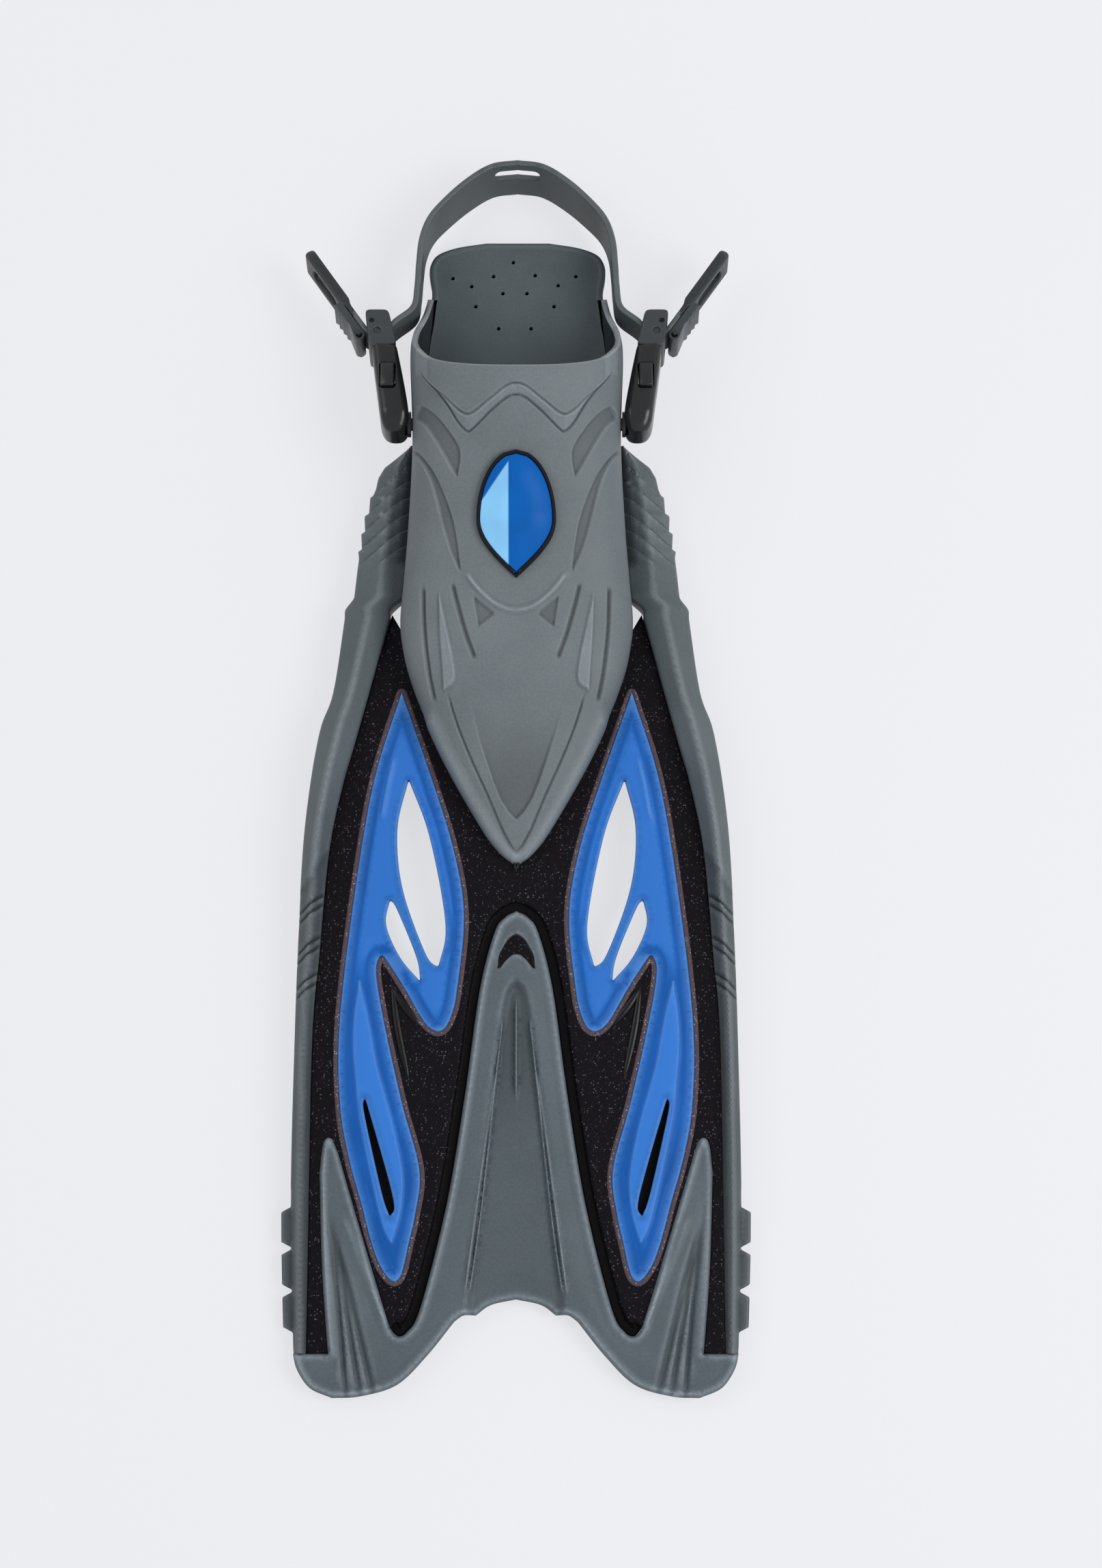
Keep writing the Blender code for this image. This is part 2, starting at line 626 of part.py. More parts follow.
BUMP_START = TIP_Y + 0.080 * BLADE_LENGTH
BUMP_PITCH = 0.053 * BLADE_LENGTH
BUMP_SHAPE = ((0.02, 0), (0.14, 1), (0.84, 1), (0.96, 0))


def bump_reach(y):
    """How far the edge stands out at a place along the rail."""
    place = (y - BUMP_START) / BUMP_PITCH
    if not 0 <= place < BUMP_COUNT:
        return 0
    share = place - math.floor(place)
    for (start, low), (end, high) in zip(BUMP_SHAPE, BUMP_SHAPE[1:]):
        if start <= share <= end:
            return BUMP_REACH * (low + (high - low) * (share - start) / (end - start))
    return 0


def rail_stations(inner):
    """Places along a rail from its end to the blade's root: the panel's own knots and the bumps' corners."""
    places = [BUMP_START + (i + share) * BUMP_PITCH for i in range(BUMP_COUNT) for share, _ in BUMP_SHAPE]
    places += [point.y for point in inner[:-1]]
    return [inner[-1].y + SEAT_GAP] + sorted(places)


def make_rail(name, side):
    outer = on_blade(smooth_run(RAIL_OUTER, 3))
    inner = on_blade(smooth_run(PANEL_SIDE, 3))
    stations = rail_stations(inner)
    horn = stations[-1]
    sections = []
    for y in stations:
        sections.append((y, along_points(inner, y) + SEAT_GAP * 1.5, along_points(outer, y) + bump_reach(y)))
    wing_end = STUD_Y - WING_STUD_GAP
    wing = ((0.03, 1.06), (0.37, 1.04), (0.56, 0.97), (0.68, 0.90), (0.74, 0.82), (0.81, 0.75), (0.87, 0.62),
            (0.93, 0.36), (1.0, 0.06))
    for share, width in wing:
        y = horn + (wing_end - horn) * share
        inside = pocket_section(y)[1] + SEAT_GAP * 1.5
        sections.append((y, inside, inside + WING_WIDTH * width))
    rings = []
    root_y = TIP_Y + RAIL_ROOT_SHARE * BLADE_LENGTH
    first = sections[0][0]
    for y, inside, outside in sections:
        if y <= root_y:
            t = (y - first) / (root_y - first)
            top = RAIL_END_TOP + (RAIL_ROOT_TOP - RAIL_END_TOP) * t
            low = RAIL_ROOT_LIFT * max(0, 2 * t - 1)
        else:
            t = (y - root_y) / (wing_end - root_y)
            top = RAIL_ROOT_TOP + (WING_END_TOP - RAIL_ROOT_TOP) * t
            low = RAIL_ROOT_LIFT
        crest = inside + RAIL_CREST_SHARE * (outside - inside)
        ring = [(inside, low), (outside, low), (outside, low + RAIL_WAIST_SHARE * (top - low)), (crest, top),
                (inside, low + RAIL_INNER_SHARE * (top - low))]
        rings.append([(side * x, y, z) for x, z in ring])
    add_part(name, loft_mesh(name, rings), "rail")


BADGE_MID_Y = HEEL_Y - BADGE_HEEL_GAP - BADGE_LENGTH / 2


def badge_outline(margin):
    """A leaf: round towards the heel, pointed towards the tip, widest a little nearer the point."""
    right = []
    for step in range(1, 14):
        t = step / 14
        if t < BADGE_WIDEST:
            reach = math.sin(math.pi / 2 * t / BADGE_WIDEST)
        else:
            reach = math.sqrt(1 - ((t - BADGE_WIDEST) / (1 - BADGE_WIDEST)) ** 2)
        right.append(Vector((BADGE_HALF_WIDTH * reach, BADGE_MID_Y + BADGE_LENGTH * (t - 0.5))))
    ends = [Vector((0, BADGE_MID_Y - BADGE_LENGTH / 2)), Vector((0, BADGE_MID_Y + BADGE_LENGTH / 2))]
    left = [Vector((-point.x, point.y)) for point in reversed(right)]
    return grown([ends[0]] + right + [ends[1]] + left, -margin)


def make_badge():
    seat = 1.5 * SEAT_GAP
    splits_x = [BADGE_HALF_WIDTH * i / 4 for i in range(-3, 4)]
    splits_y = [y for y in section_places() + [FLAT_SOLE_Y, BADGE_MID_Y]]
    frame = [badge_outline(0), badge_outline(BEZEL_WIDTH)]
    bezel = plate_mesh("badge_bezel", frame, seat, seat + BEZEL_THICKNESS)
    add_part("badge_bezel", reshaped(bezel, pocket_surface, splits_x, splits_y), "gloss")
    inside = [badge_outline(BEZEL_WIDTH + SEAT_GAP)]
    face = plate_mesh("badge_plate", inside, seat, seat + BADGE_THICKNESS)
    add_part("badge_plate", reshaped(face, pocket_surface, splits_x, splits_y), "blue")


def socket_x(y):
    """Inner face of the buckle at a distance behind the swivel axis."""
    return SOCKET_INNER_X + max(0, y - SOCKET_LEAN_START) * math.tan(SOCKET_LEAN)


CLIP_START = SOCKET_LENGTH + SEAT_GAP
ROLLER_Y = CLIP_START + BRIDGE + RUNNING_GAP + STRAP_THICKNESS + SEAT_GAP + ROLLER_RADIUS
ROLLER_X = socket_x(ROLLER_Y) + 0.5 * CLIP_DEPTH
WRAP_RADIUS = ROLLER_RADIUS + SEAT_GAP + STRAP_THICKNESS / 2
TAB_WAY = Vector((math.sin(TAB_ANGLE), math.cos(TAB_ANGLE)))
TAB_START = Vector((ROLLER_X, ROLLER_Y)) + WRAP_RADIUS * Vector((TAB_WAY.y, -TAB_WAY.x))


def strap_route():
    """Right half of the strap: (across, back, half height) from the heel to the pull tab's end."""
    heel = HEEL_BAND / 2
    band = BUCKLE_BAND / 2
    side = SOCKET_INNER_X - STRAP_INSET
    back = STRAP_REACH
    bend = [(0, 0, 1), (0.26, -0.015, 1), (0.51, -0.075, 0.96), (0.74, -0.155, 0.85), (0.885, -0.222, 0.7),
            (0.96, -0.30, 0.5), (0.985, -0.39, 0.3), (1.0, -0.48, 0.1)]
    route = [(side * x, back * (1 + y), band + (heel - band) * h) for x, y, h in bend]
    lead = Vector((ROLLER_X, ROLLER_Y - WRAP_RADIUS))
    mouth = Vector((socket_x(ROLLER_Y) - STRAP_MOUTH_INSET, ROLLER_Y + STRAP_MOUTH_LEAD))
    route.append((side + 0.18 * (mouth.x - side), mouth.y + STRAP_MOUTH_RUN, band))
    route.append((mouth.x, mouth.y, band))
    route.append((lead.x - STRAP_ROLLER_LEAD, lead.y + STRAP_ROLLER_DROP, band))
    for turn in range(4):
        angle = -math.pi / 2 + (math.pi / 2 - TAB_ANGLE) * turn / 3
        route.append((ROLLER_X + WRAP_RADIUS * math.cos(angle), ROLLER_Y + WRAP_RADIUS * math.sin(angle), band))
    for share in (0.2, 0.6, 0.9, 1.0):
        end = TAB_START + TAB_WAY * TAB_LENGTH * share
        route.append((end.x, end.y, band * (0.75 if share == 1.0 else 1.0)))
    return route


def make_strap(swivel):
    right = strap_route()
    left = [(-x, y, h) for x, y, h in reversed(right[1:])]
    route = left + right
    rings = []
    for i, (x, y, h) in enumerate(route):
        before = Vector(route[max(0, i - 1)][:2])
        after = Vector(route[min(len(route) - 1, i + 1)][:2])
        way = (after - before).normalized()
        out = Vector((-way.y, way.x)) * STRAP_THICKNESS / 2
        rings.append([(x + out.x, y + out.y, h), (x + out.x, y + out.y, -h),
                      (x - out.x, y - out.y, -h), (x - out.x, y - out.y, h)])
    strap = add_part("heel_strap", loft_mesh("heel_strap", rings), "strap", swivel, smooth=30)

    slot = block_mesh("strap_slot", (-STRAP_SLOT_LENGTH / 2, -CUT_PAST, -STRAP_SLOT_HEIGHT / 2),
                      (STRAP_SLOT_LENGTH / 2, CUT_PAST, STRAP_SLOT_HEIGHT / 2))
    cut(strap, add_cutter("strap_slot", slot, swivel, (0, STRAP_REACH, STRAP_SLOT_LIFT)))
    middle = TAB_START + TAB_WAY * (TAB_LENGTH - TAB_LOOP_END - TAB_LOOP_LENGTH / 2)
    for side in (1, -1):
        loop = block_mesh("tab_loop", (-CUT_PAST, -TAB_LOOP_LENGTH / 2, -TAB_LOOP_HEIGHT / 2),
                          (CUT_PAST, TAB_LOOP_LENGTH / 2, TAB_LOOP_HEIGHT / 2))
        cutter = add_cutter("tab_loop_%d" % side, loop, swivel, (side * middle.x, middle.y, 0))
        cutter.rotation_euler = (0, 0, -side * TAB_ANGLE)
        cut(strap, cutter)


def box_rings(stations, side):
    """Rectangular sections (back, inner, outer, half height) for a loft along the buckle."""
    rings = []
    for y, inner, outer, half in stations:
        rings.append([(side * inner, y, -half), (side * outer, y, -half), (side * outer, y, half),
                      (side * inner, y, half)])
    return rings


def make_socket(word, side, swivel):
    half = SOCKET_HEIGHT / 2
    deep = SOCKET_DEPTH
    shape = [(-SOCKET_NOSE, 0.58, 0.62), (-SOCKET_CHEST, 0.82, 0.84), (0, 0.93, 0.96), (SOCKET_SHOULDER, 1, 1),
             (SOCKET_LENGTH, 1, 1)]
    stations = [(y, socket_x(y), socket_x(y) + depth * deep, tall * half) for y, depth, tall in shape]
    socket = add_part(word + "_buckle_socket", loft_mesh("socket", box_rings(stations, side)), "gloss", swivel)
    start = STUD_HEAD_RADIUS + SOCKET_WALL
    hollow = []
    for y in (start, SOCKET_LENGTH + CUT_PAST):
        hollow.append((y, socket_x(y) + SOCKET_WALL, socket_x(y) + deep - SOCKET_WALL, half - SOCKET_WALL))
    cut(socket, add_cutter(word + "_socket_hollow", loft_mesh("hollow", box_rings(hollow, side)), swivel))
    window = block_mesh("window", (-BUTTON_WIDTH / 2 - SEAT_GAP, BUTTON_START - SEAT_GAP, -half - CUT_PAST),
                        (BUTTON_WIDTH / 2 + SEAT_GAP, BUTTON_START + BUTTON_LENGTH + SEAT_GAP, half + CUT_PAST))
    cut(socket, add_cutter(word + "_button_window", window, swivel, (side * button_x(), 0, 0)))
    eye = rod_mesh("eye", STUD_RADIUS + SEAT_GAP, -CUT_PAST * 3, CUT_PAST * 3, axis="X")
    cut(socket, add_cutter(word + "_socket_eye", eye, swivel, (side * SOCKET_INNER_X, 0, 0)))
    sink = rod_mesh("sink", STUD_HEAD_RADIUS + SEAT_GAP, -CUT_PAST, CUT_PAST, axis="X")
    cut(socket, add_cutter(word + "_head_sink", sink, swivel, (side * (stud_head_x() - SEAT_GAP + CUT_PAST), 0, 0)))


def button_x():
    middle = BUTTON_START + BUTTON_LENGTH / 2
    return socket_x(middle) + SOCKET_DEPTH / 2


def stud_head_x():
    return SOCKET_INNER_X + 0.90 * SOCKET_DEPTH - STUD_HEAD_THICKNESS


def make_buttons(word, side, swivel):
    outer = SOCKET_HEIGHT / 2 + BUTTON_PROUD
    inner = PRONG_HEIGHT / 2 + BUTTON_TRAVEL + RUNNING_GAP
    for place, way in (("upper", 1), ("lower", -1)):
        low, high = sorted((way * inner, way * outer))
        middle = (low + high) / 2
        mesh = block_mesh("button", (-BUTTON_WIDTH / 2, -BUTTON_LENGTH / 2, low - middle),
                          (BUTTON_WIDTH / 2, BUTTON_LENGTH / 2, high - middle))
        button = add_part("%s_%s_release_button" % (word, place), mesh, "gloss", swivel,
                          (side * button_x(), BUTTON_START + BUTTON_LENGTH / 2, middle))
        round_edges = button.modifiers.new("edges", "BEVEL")
        round_edges.width = BUTTON_EDGE
        round_edges.segments = 2


def clip_outline():
    """Cheek of the clip seen from above: (across, back) points round it, with the lever's ear outside."""
    end = CLIP_START + CLIP_LENGTH
    front = socket_x(CLIP_START)
    rear = socket_x(end)
    pin_x, pin_y = lever_pin()
    ear = LEVER_EYE_RADIUS + EAR_WALL
    return [Vector(p) for p in ((front - CLIP_FRONT_LAP, CLIP_START), (pin_x + 0.5 * ear, CLIP_START),
                                (pin_x + ear, pin_y), (pin_x + 0.3 * ear, pin_y + ear),
                                (rear + CLIP_DEPTH - CLIP_REAR_TAPER, end), (rear - CLIP_REAR_LAP, end),
                                (front - CLIP_BRIDGE_LAP, CLIP_START + BRIDGE))]


def lever_pin():
    """Lever pin in front of the roller and outside it, with the strap passing between."""
    apart = ROLLER_RADIUS + SEAT_GAP + STRAP_THICKNESS + RUNNING_GAP + LEVER_EYE_RADIUS
    return ROLLER_X + apart * math.cos(LEVER_PIN_ANGLE), ROLLER_Y - apart * math.sin(LEVER_PIN_ANGLE)


def mirrored(outline, side):
    return [Vector((side * point[0], point[1])) for point in outline]


def make_clip(word, side, swivel):
    half = BUCKLE_BAND / 2 + RUNNING_GAP + CHEEK
    clip = add_part(word + "_buckle_clip", plate_mesh("clip", [mirrored(clip_outline(), side)], -half, half), "gloss",
                    swivel)
    room = BUCKLE_BAND / 2 + RUNNING_GAP
    front = socket_x(CLIP_START)
    pin_x, pin_y = lever_pin()
    eye = LEVER_EYE_RADIUS + RUNNING_GAP
    throat = [(front - CUT_PAST, CLIP_START + BRIDGE), (pin_x - eye - THROAT_WALL, CLIP_START + BRIDGE),
              (pin_x - eye - THROAT_MOUTH, CLIP_START - CUT_PAST), (pin_x + CUT_PAST * 2, CLIP_START - CUT_PAST),
              (pin_x + CUT_PAST * 2, CLIP_START + CLIP_LENGTH + CUT_PAST),
              (front - CUT_PAST, CLIP_START + CLIP_LENGTH + CUT_PAST)]
    cut(clip, add_cutter(word + "_clip_throat", plate_mesh("throat", [mirrored(throat, side)], -room, room), swivel))
    for label, x, y, radius in (("roller", ROLLER_X, ROLLER_Y, PIN_RADIUS), ("lever", pin_x, pin_y, LEVER_PIN_RADIUS)):
        hole = rod_mesh("hole", radius + SEAT_GAP, -half - CUT_PAST, half + CUT_PAST)
        cut(clip, add_cutter("%s_%s_pin_hole" % (word, label), hole, swivel, (side * x, y, 0)))

    stations = []
    for y in (STUD_HEAD_RADIUS + SOCKET_WALL + PRONG_SETBACK, CLIP_START + BRIDGE / 2):
        middle = socket_x(y) + SOCKET_DEPTH / 2
        thick = SOCKET_DEPTH / 2 - SOCKET_WALL - RUNNING_GAP
        stations.append((y, middle - thick, middle + thick, PRONG_HEIGHT / 2))
    prong = add_cutter(word + "_prong", loft_mesh("prong", box_rings(stations, side)), swivel)
    join = clip.modifiers.new("prong", "BOOLEAN")
    join.operation = "UNION"
    join.solver = "EXACT"
    join.object = prong

    reach = half + SEAT_GAP
    pin = [(0, reach), (PIN_RADIUS, reach), (PIN_RADIUS, -reach), (0, -reach)]
    turned_part(word + "_roller_pin", pin, "steel", swivel, (side * ROLLER_X, ROLLER_Y, 0), segments=20)
    bore = PIN_RADIUS + SEAT_GAP
    tall = room - RUNNING_GAP
    tube = [(bore, tall), (ROLLER_RADIUS, tall), (ROLLER_RADIUS, -tall), (bore, -tall)]
    turned_part(word + "_strap_roller", tube, "gloss", swivel, (side * ROLLER_X, ROLLER_Y, 0))
    pin = [(0, reach), (LEVER_PIN_RADIUS, reach), (LEVER_PIN_RADIUS, -reach), (0, -reach)]
    turned_part(word + "_lever_pin", pin, "steel", swivel, (side * pin_x, pin_y, 0), segments=20)


def make_lever(word, side, swivel):
    """Thumb lever outside the pull tab, lying along it from its eye to its serrated end."""
    pin = Vector(lever_pin())
    out = Vector((TAB_WAY.y, -TAB_WAY.x))
    turns = [math.pi / 2 - TAB_ANGLE + math.radians(104 + 160 * i / 10) for i in range(11)]
    eye = [LEVER_EYE_RADIUS * Vector((math.cos(turn), math.sin(turn))) for turn in turns]
    start = TAB_START + out * (STRAP_THICKNESS / 2 + RUNNING_GAP) + TAB_WAY * LEVER_HEEL - pin
    teeth = [(0.30 + 0.1 * i, 1.0 + 0.22 * (i % 2)) for i in range(8)]
    outer = [start + TAB_WAY * LEVER_LENGTH * share + out * LEVER_THICKNESS * thick for share, thick in teeth]
    outline = eye + outer + [start + TAB_WAY * LEVER_LENGTH, start]
    tall = BUCKLE_BAND / 2
    bore = [(LEVER_PIN_RADIUS + SEAT_GAP) * Vector((math.cos(a), math.sin(a)))
            for a in [math.tau * i / 16 for i in range(16)]]
    mesh = plate_mesh("lever", [mirrored(outline, side), mirrored(bore, side)], -tall, tall)
    add_part(word + "_lock_lever", mesh, "gloss", swivel, (side * pin.x, pin.y, 0))


def make_stud(word, side):
    """Stud through the pocket's wall: flange washer inside, collar outside, head sunk in the socket."""
    widest = pocket_section(STUD_Y)[1]
    wall_x = min(hollow_half_width(y, STUD_Z + WASHER_RADIUS)
                 for y in (STUD_Y - WASHER_RADIUS, STUD_Y, STUD_Y + WASHER_RADIUS))
    head = stud_head_x()
    outer = wall_x - SEAT_GAP
    inside = outer - WASHER_THICKNESS - SEAT_GAP
    collar = widest + SEAT_GAP
    shoulder = SOCKET_INNER_X - SEAT_GAP
    profile = [(0, head + STUD_HEAD_THICKNESS), (STUD_HEAD_RADIUS, head + STUD_HEAD_THICKNESS),
               (STUD_HEAD_RADIUS, head), (STUD_RADIUS, head), (STUD_RADIUS, shoulder), (STUD_COLLAR_RADIUS, shoulder),
               (STUD_COLLAR_RADIUS, collar), (STUD_RADIUS, collar), (STUD_RADIUS, inside), (0, inside)]
    stud = turned_part(word + "_swivel_stud", profile, "gloss", None, (0, STUD_Y, STUD_Z), axis="X")
    bore = STUD_RADIUS + SEAT_GAP
    ring = [(bore, outer), (WASHER_RADIUS, outer), (WASHER_RADIUS, outer - WASHER_THICKNESS),
            (bore, outer - WASHER_THICKNESS)]
    washer = turned_part(word + "_stud_washer", ring, "gloss", None, (0, STUD_Y, STUD_Z), axis="X")
    if side < 0:
        for thing in (stud, washer):
            thing.rotation_euler = (0, -math.pi / 2, 0)


def main():
    clear_scene()
    make_blade()
    make_foot_pocket()
    make_sole()
    make_rail("right_rail", 1)
    make_rail("left_rail", -1)
    make_badge()
    swivel = bpy.data.objects.new("strap_swivel", None)
    parts.objects.link(swivel)
    swivel.location = (0, STUD_Y, STUD_Z)
    swivel.rotation_euler = (-STRAP_DROOP, 0, 0)
    make_strap(swivel)
    for word, side in (("right", 1), ("left", -1)):
        make_stud(word, side)
        make_socket(word, side, swivel)
        make_buttons(word, side, swivel)
        make_clip(word, side, swivel)
        make_lever(word, side, swivel)


main()
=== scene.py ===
"""Looks of an open-heel swim fin: rubber foot pocket, laminated blade, heel strap and quick-release buckles.

Shape tables are in millimetres, or in percent of the blade's half width and length, as in the part's source.
"""

import math

import bmesh
import bpy
import numpy as np
from mathutils import Matrix, Vector
from mathutils.geometry import delaunay_2d_cdt


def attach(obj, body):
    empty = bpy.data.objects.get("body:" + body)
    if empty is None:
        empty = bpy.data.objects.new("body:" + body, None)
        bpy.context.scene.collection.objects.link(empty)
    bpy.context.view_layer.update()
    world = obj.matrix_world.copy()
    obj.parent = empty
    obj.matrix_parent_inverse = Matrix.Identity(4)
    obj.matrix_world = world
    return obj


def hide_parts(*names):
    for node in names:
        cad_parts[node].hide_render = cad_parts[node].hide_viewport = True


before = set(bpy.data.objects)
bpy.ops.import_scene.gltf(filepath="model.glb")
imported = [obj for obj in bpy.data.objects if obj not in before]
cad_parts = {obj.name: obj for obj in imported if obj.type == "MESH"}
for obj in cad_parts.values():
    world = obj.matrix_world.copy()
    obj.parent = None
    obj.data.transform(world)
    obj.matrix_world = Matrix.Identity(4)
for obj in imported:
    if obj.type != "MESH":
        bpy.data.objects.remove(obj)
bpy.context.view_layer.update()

bl_info = {
    "name": "Swim fin looks",
    "version": (1, 0, 0),
    "blender": (4, 5, 0),
    "location": "View3D > Sidebar > Swim fin",
    "description": "Builds the visible surfaces of an open-heel swim fin round its CAD frame",
    "category": "Object",
}

MM = 0.001
# Mesh attribute of a surface's relief, with the painted light and shade that the finishes draw from it
RELIEF = "relief"

# Levels and places of the CAD part
TIP_Y = -292.0
BLADE_LENGTH = 366.0
BLADE_HALF_WIDTH = 104.0
TOE_Y = 66.3
HEEL_Y = 256.3
SOLE_LENGTH = HEEL_Y - TOE_Y
CORE_LOW = 4.3
CORE_HIGH = 8.3
BED_LOW = 8.6
BED_HIGH = 11.0
INSERT_TOP = 9.1
INSERT_LOW = 6.2
TIP_TOP = 9.3
TIP_LOW = 3.3
SEAT = 0.3
RISE = ((-292.0, 0.0), (-149.3, 5.0), (50.3, 8.0), (110.3, 0.0))

# Half outlines of the blade in percent, each a list of smooth runs that meet at corners
PANEL_SIDE = [(56.7, 99.7), (72.4, 83.1), (77.9, 77.5), (83.9, 68.9), (88.0, 55.2), (90.9, 42.9), (92.1, 5.4)]
PANEL_END = [
    [(92.1, 5.4), (82.6, 5.4)],
    [(82.6, 5.4), (85.5, 16.0), (87.0, 27.9)],
    [(87.0, 27.9), (85.4, 31.6), (82.0, 32.2), (78.9, 30.4)],
    [(78.9, 30.4), (71.6, 23.4), (61.0, 13.5), (55.6, 8.6)],
    [(55.6, 8.6), (52.4, 7.6), (47.9, 8.1), (41.9, 11.2), (30.5, 24.1), (22.5, 38.0), (16.2, 51.0),
     (9.8, 58.2), (5.1, 60.2), (0.0, 61.0)],
]
TIP_EDGE = [
    [(98.0, 5.4), (96.0, 3.4), (90.4, 1.2), (80.8, 0.0)],
    [(80.8, 0.0), (68.6, 0.2), (52.4, 1.6), (39.2, 5.2), (27.3, 9.4)],
    [(27.3, 9.4), (23.1, 10.2), (17.7, 10.2)],
    [(17.7, 10.2), (11.1, 11.5), (0.0, 12.2)],
]
INSERT_EDGE = [
    [(51.9, 89.6), (64.4, 77.9), (72.7, 63.4), (79.0, 47.0), (78.5, 36.4), (74.3, 29.6), (68.8, 24.1),
     (64.9, 19.9), (61.0, 16.7), (56.5, 14.7), (53.8, 14.2)],
    [(53.8, 14.2), (51.3, 14.6), (49.3, 16.1), (47.1, 19.0), (44.4, 22.5), (42.4, 28.2), (50.3, 36.6),
     (58.5, 46.8), (62.3, 53.3), (60.2, 55.5)],
    [(60.2, 55.5), (50.7, 51.4), (42.0, 47.1), (37.4, 45.8), (34.3, 45.5)],
    [(34.3, 45.5), (31.3, 46.1), (28.5, 47.8), (26.3, 50.6), (23.1, 60.2), (27.5, 68.5), (38.1, 78.3),
     (51.9, 89.6)],
]
LARGE_VENT = [
    [(48.6, 78.0), (53.5, 71.6), (51.0, 63.9), (40.4, 55.5), (34.8, 53.8)],
    [(34.8, 53.8), (31.7, 59.3), (39.1, 70.6), (48.6, 78.0)],
]
SMALL_VENT = [
    [(56.7, 62.5), (58.3, 59.3), (51.9, 55.1), (42.8, 52.0)],
    [(42.8, 52.0), (44.6, 55.1), (53.7, 61.4), (56.7, 62.5)],
]
SLIT = [
    [(67.3, 37.2), (67.5, 35.5), (59.4, 25.4), (55.7, 22.4)],
    [(55.7, 22.4), (54.2, 24.6), (65.4, 35.8), (67.3, 37.2)],
]
RAIL_OUTER = [(77.5, 100.0), (82.7, 89.2), (88.9, 83.6), (94.9, 71.6), (97.4, 57.9), (98.8, 44.5),
              (99.8, 23.5), (98.3, 7.1), (98.0, 5.4)]
RAIL_START = 5.4
RAIL_ROOT = 80.0
BUMP_START = 8.0
BUMP_END = 24.0
BUMPS = 3
BUMP_PITCH = 5.3
BUMP_SHAPE = ((0.02, 0), (0.14, 1), (0.84, 1), (0.96, 0))
BUMP_REACH = 4.4

# Pocket sections in percent: place along the sole from the toe, half width at the base, greatest half
# width and its height, height of the arch
POCKET_SECTIONS = [
    (0, 107, 109, 24, 50),
    (10, 104, 106, 28, 57),
    (23, 98, 102, 34, 70),
    (44, 91, 98, 40, 89),
    (64, 85, 100, 48, 100),
    (70.5, 84, 97.5, 45, 100),
    (75, 83, 92.5, 40, 100),
    (79, 82, 87, 35, 100),
    (86, 81, 82, 25, 100),
    (91.5, 84.5, 84.5, 25, 100),
    (94.5, 83, 83, 25, 100),
    (97, 76, 76, 25, 100),
    (98.8, 58, 58, 25, 100),
    (100, 30, 30, 25, 100),
]
POCKET_HALF_WIDTH = 50.0
INSTEP_HEIGHT = 79.0
APRON_LENGTH = 112.0
APRON_EDGE = 3.0
APRON_SECTIONS = [(100, 3, 3), (96, 13, 8), (88, 26, 18), (75, 42, 31), (60, 59, 46), (45, 74, 61),
                  (27, 89, 78), (13, 97, 91)]
ARCH_POWER = 3.0
LIP_Y = HEEL_Y - 82.0
FALL_Y = HEEL_Y - 28.5
HEEL_RIM = 12.0
DRAINS = [(-2, 10), (-31, 18), (-11.5, 17), (8.5, 16.5), (28, 17), (-22, 22), (19.5, 21.5), (-7, 25.5),
          (4.5, 25.5), (-20, 32), (17.5, 32), (-9, 43), (6.5, 43)]
DRAIN_RADIUS = 1.0

# Badge
BADGE_LENGTH = 56.0
BADGE_HALF_WIDTH = 18.5
BADGE_WIDEST = 0.46
BADGE_MID_Y = HEEL_Y - 118.0 - BADGE_LENGTH / 2
BADGE_SEAT = 0.45
BADGE_FACE = 2.0
BADGE_SWELL = 1.8
BADGE_SWELL_RUN = 12.0
BADGE_GAP = 0.2
BEZEL_WIDTH = 1.7
BEZEL_HEIGHT = 3.1
BEZEL_ROOT = 1.0
BEZEL_EDGE = 1.25

# Heel strap in its own frame: origin on the swivel axis, Y to the heel
SWIVEL = Matrix.Translation((0, 158.0, 40.0)) @ Matrix.Rotation(math.radians(-11.0), 4, "X")
STRAP_ROUTE = [
    (0, 132.4, 14.5), (12.2, 130.4, 14.5), (23.9, 122.5, 14.3), (34.7, 111.9, 13.7), (41.5, 103.0, 12.9),
    (45.0, 92.7, 11.8), (46.2, 80.8, 10.7), (46.9, 68.8, 9.6), (48.6, 58.2, 9.0), (56.1, 51.2, 9.0),
    (63.3, 45.2, 9.0), (68.3, 44.6, 9.0), (70.3, 45.1, 9.0), (71.7, 46.4, 9.0), (77.3, 54.7, 9.0),
    (88.4, 71.3, 9.0), (99.5, 88.0, 9.0),
]
STRAP_THICKNESS = 2.6

# Camera: focal length and image height in pixels of the view that it matches
CAMERA_ELEVATION = 80.0
CAMERA_DISTANCE = 1750.0
CAMERA_TARGET = (16.1, -6.1)
SENSOR = 36.0
FOCAL_SHARE = 5430.0 / 2296.0


def curve(points, steps=6):
    """Catmull-Rom curve through the points; a run of two points stays straight."""
    knots = np.array(points, float)
    if len(knots) == 2:
        return knots
    knots = np.vstack((2 * knots[0] - knots[1], knots, 2 * knots[-1] - knots[-2]))
    rows = []
    for before, start, end, after in zip(knots, knots[1:], knots[2:], knots[3:]):
        bend = 2 * before - 5 * start + 4 * end - after
        twist = 3 * start - before - 3 * end + after
        for t in np.arange(steps) / steps:
            rows.append(0.5 * (2 * start + (end - before) * t + bend * t * t + twist * t ** 3))
    return np.vstack(rows + [knots[-2]])


def runs(parts, steps=6):
    return np.vstack([curve(part, steps)[:-1] for part in parts])


def side_y(percent):
    """Place along the fin of a percentage of the blade's length."""
    return TIP_Y + percent / 100 * BLADE_LENGTH


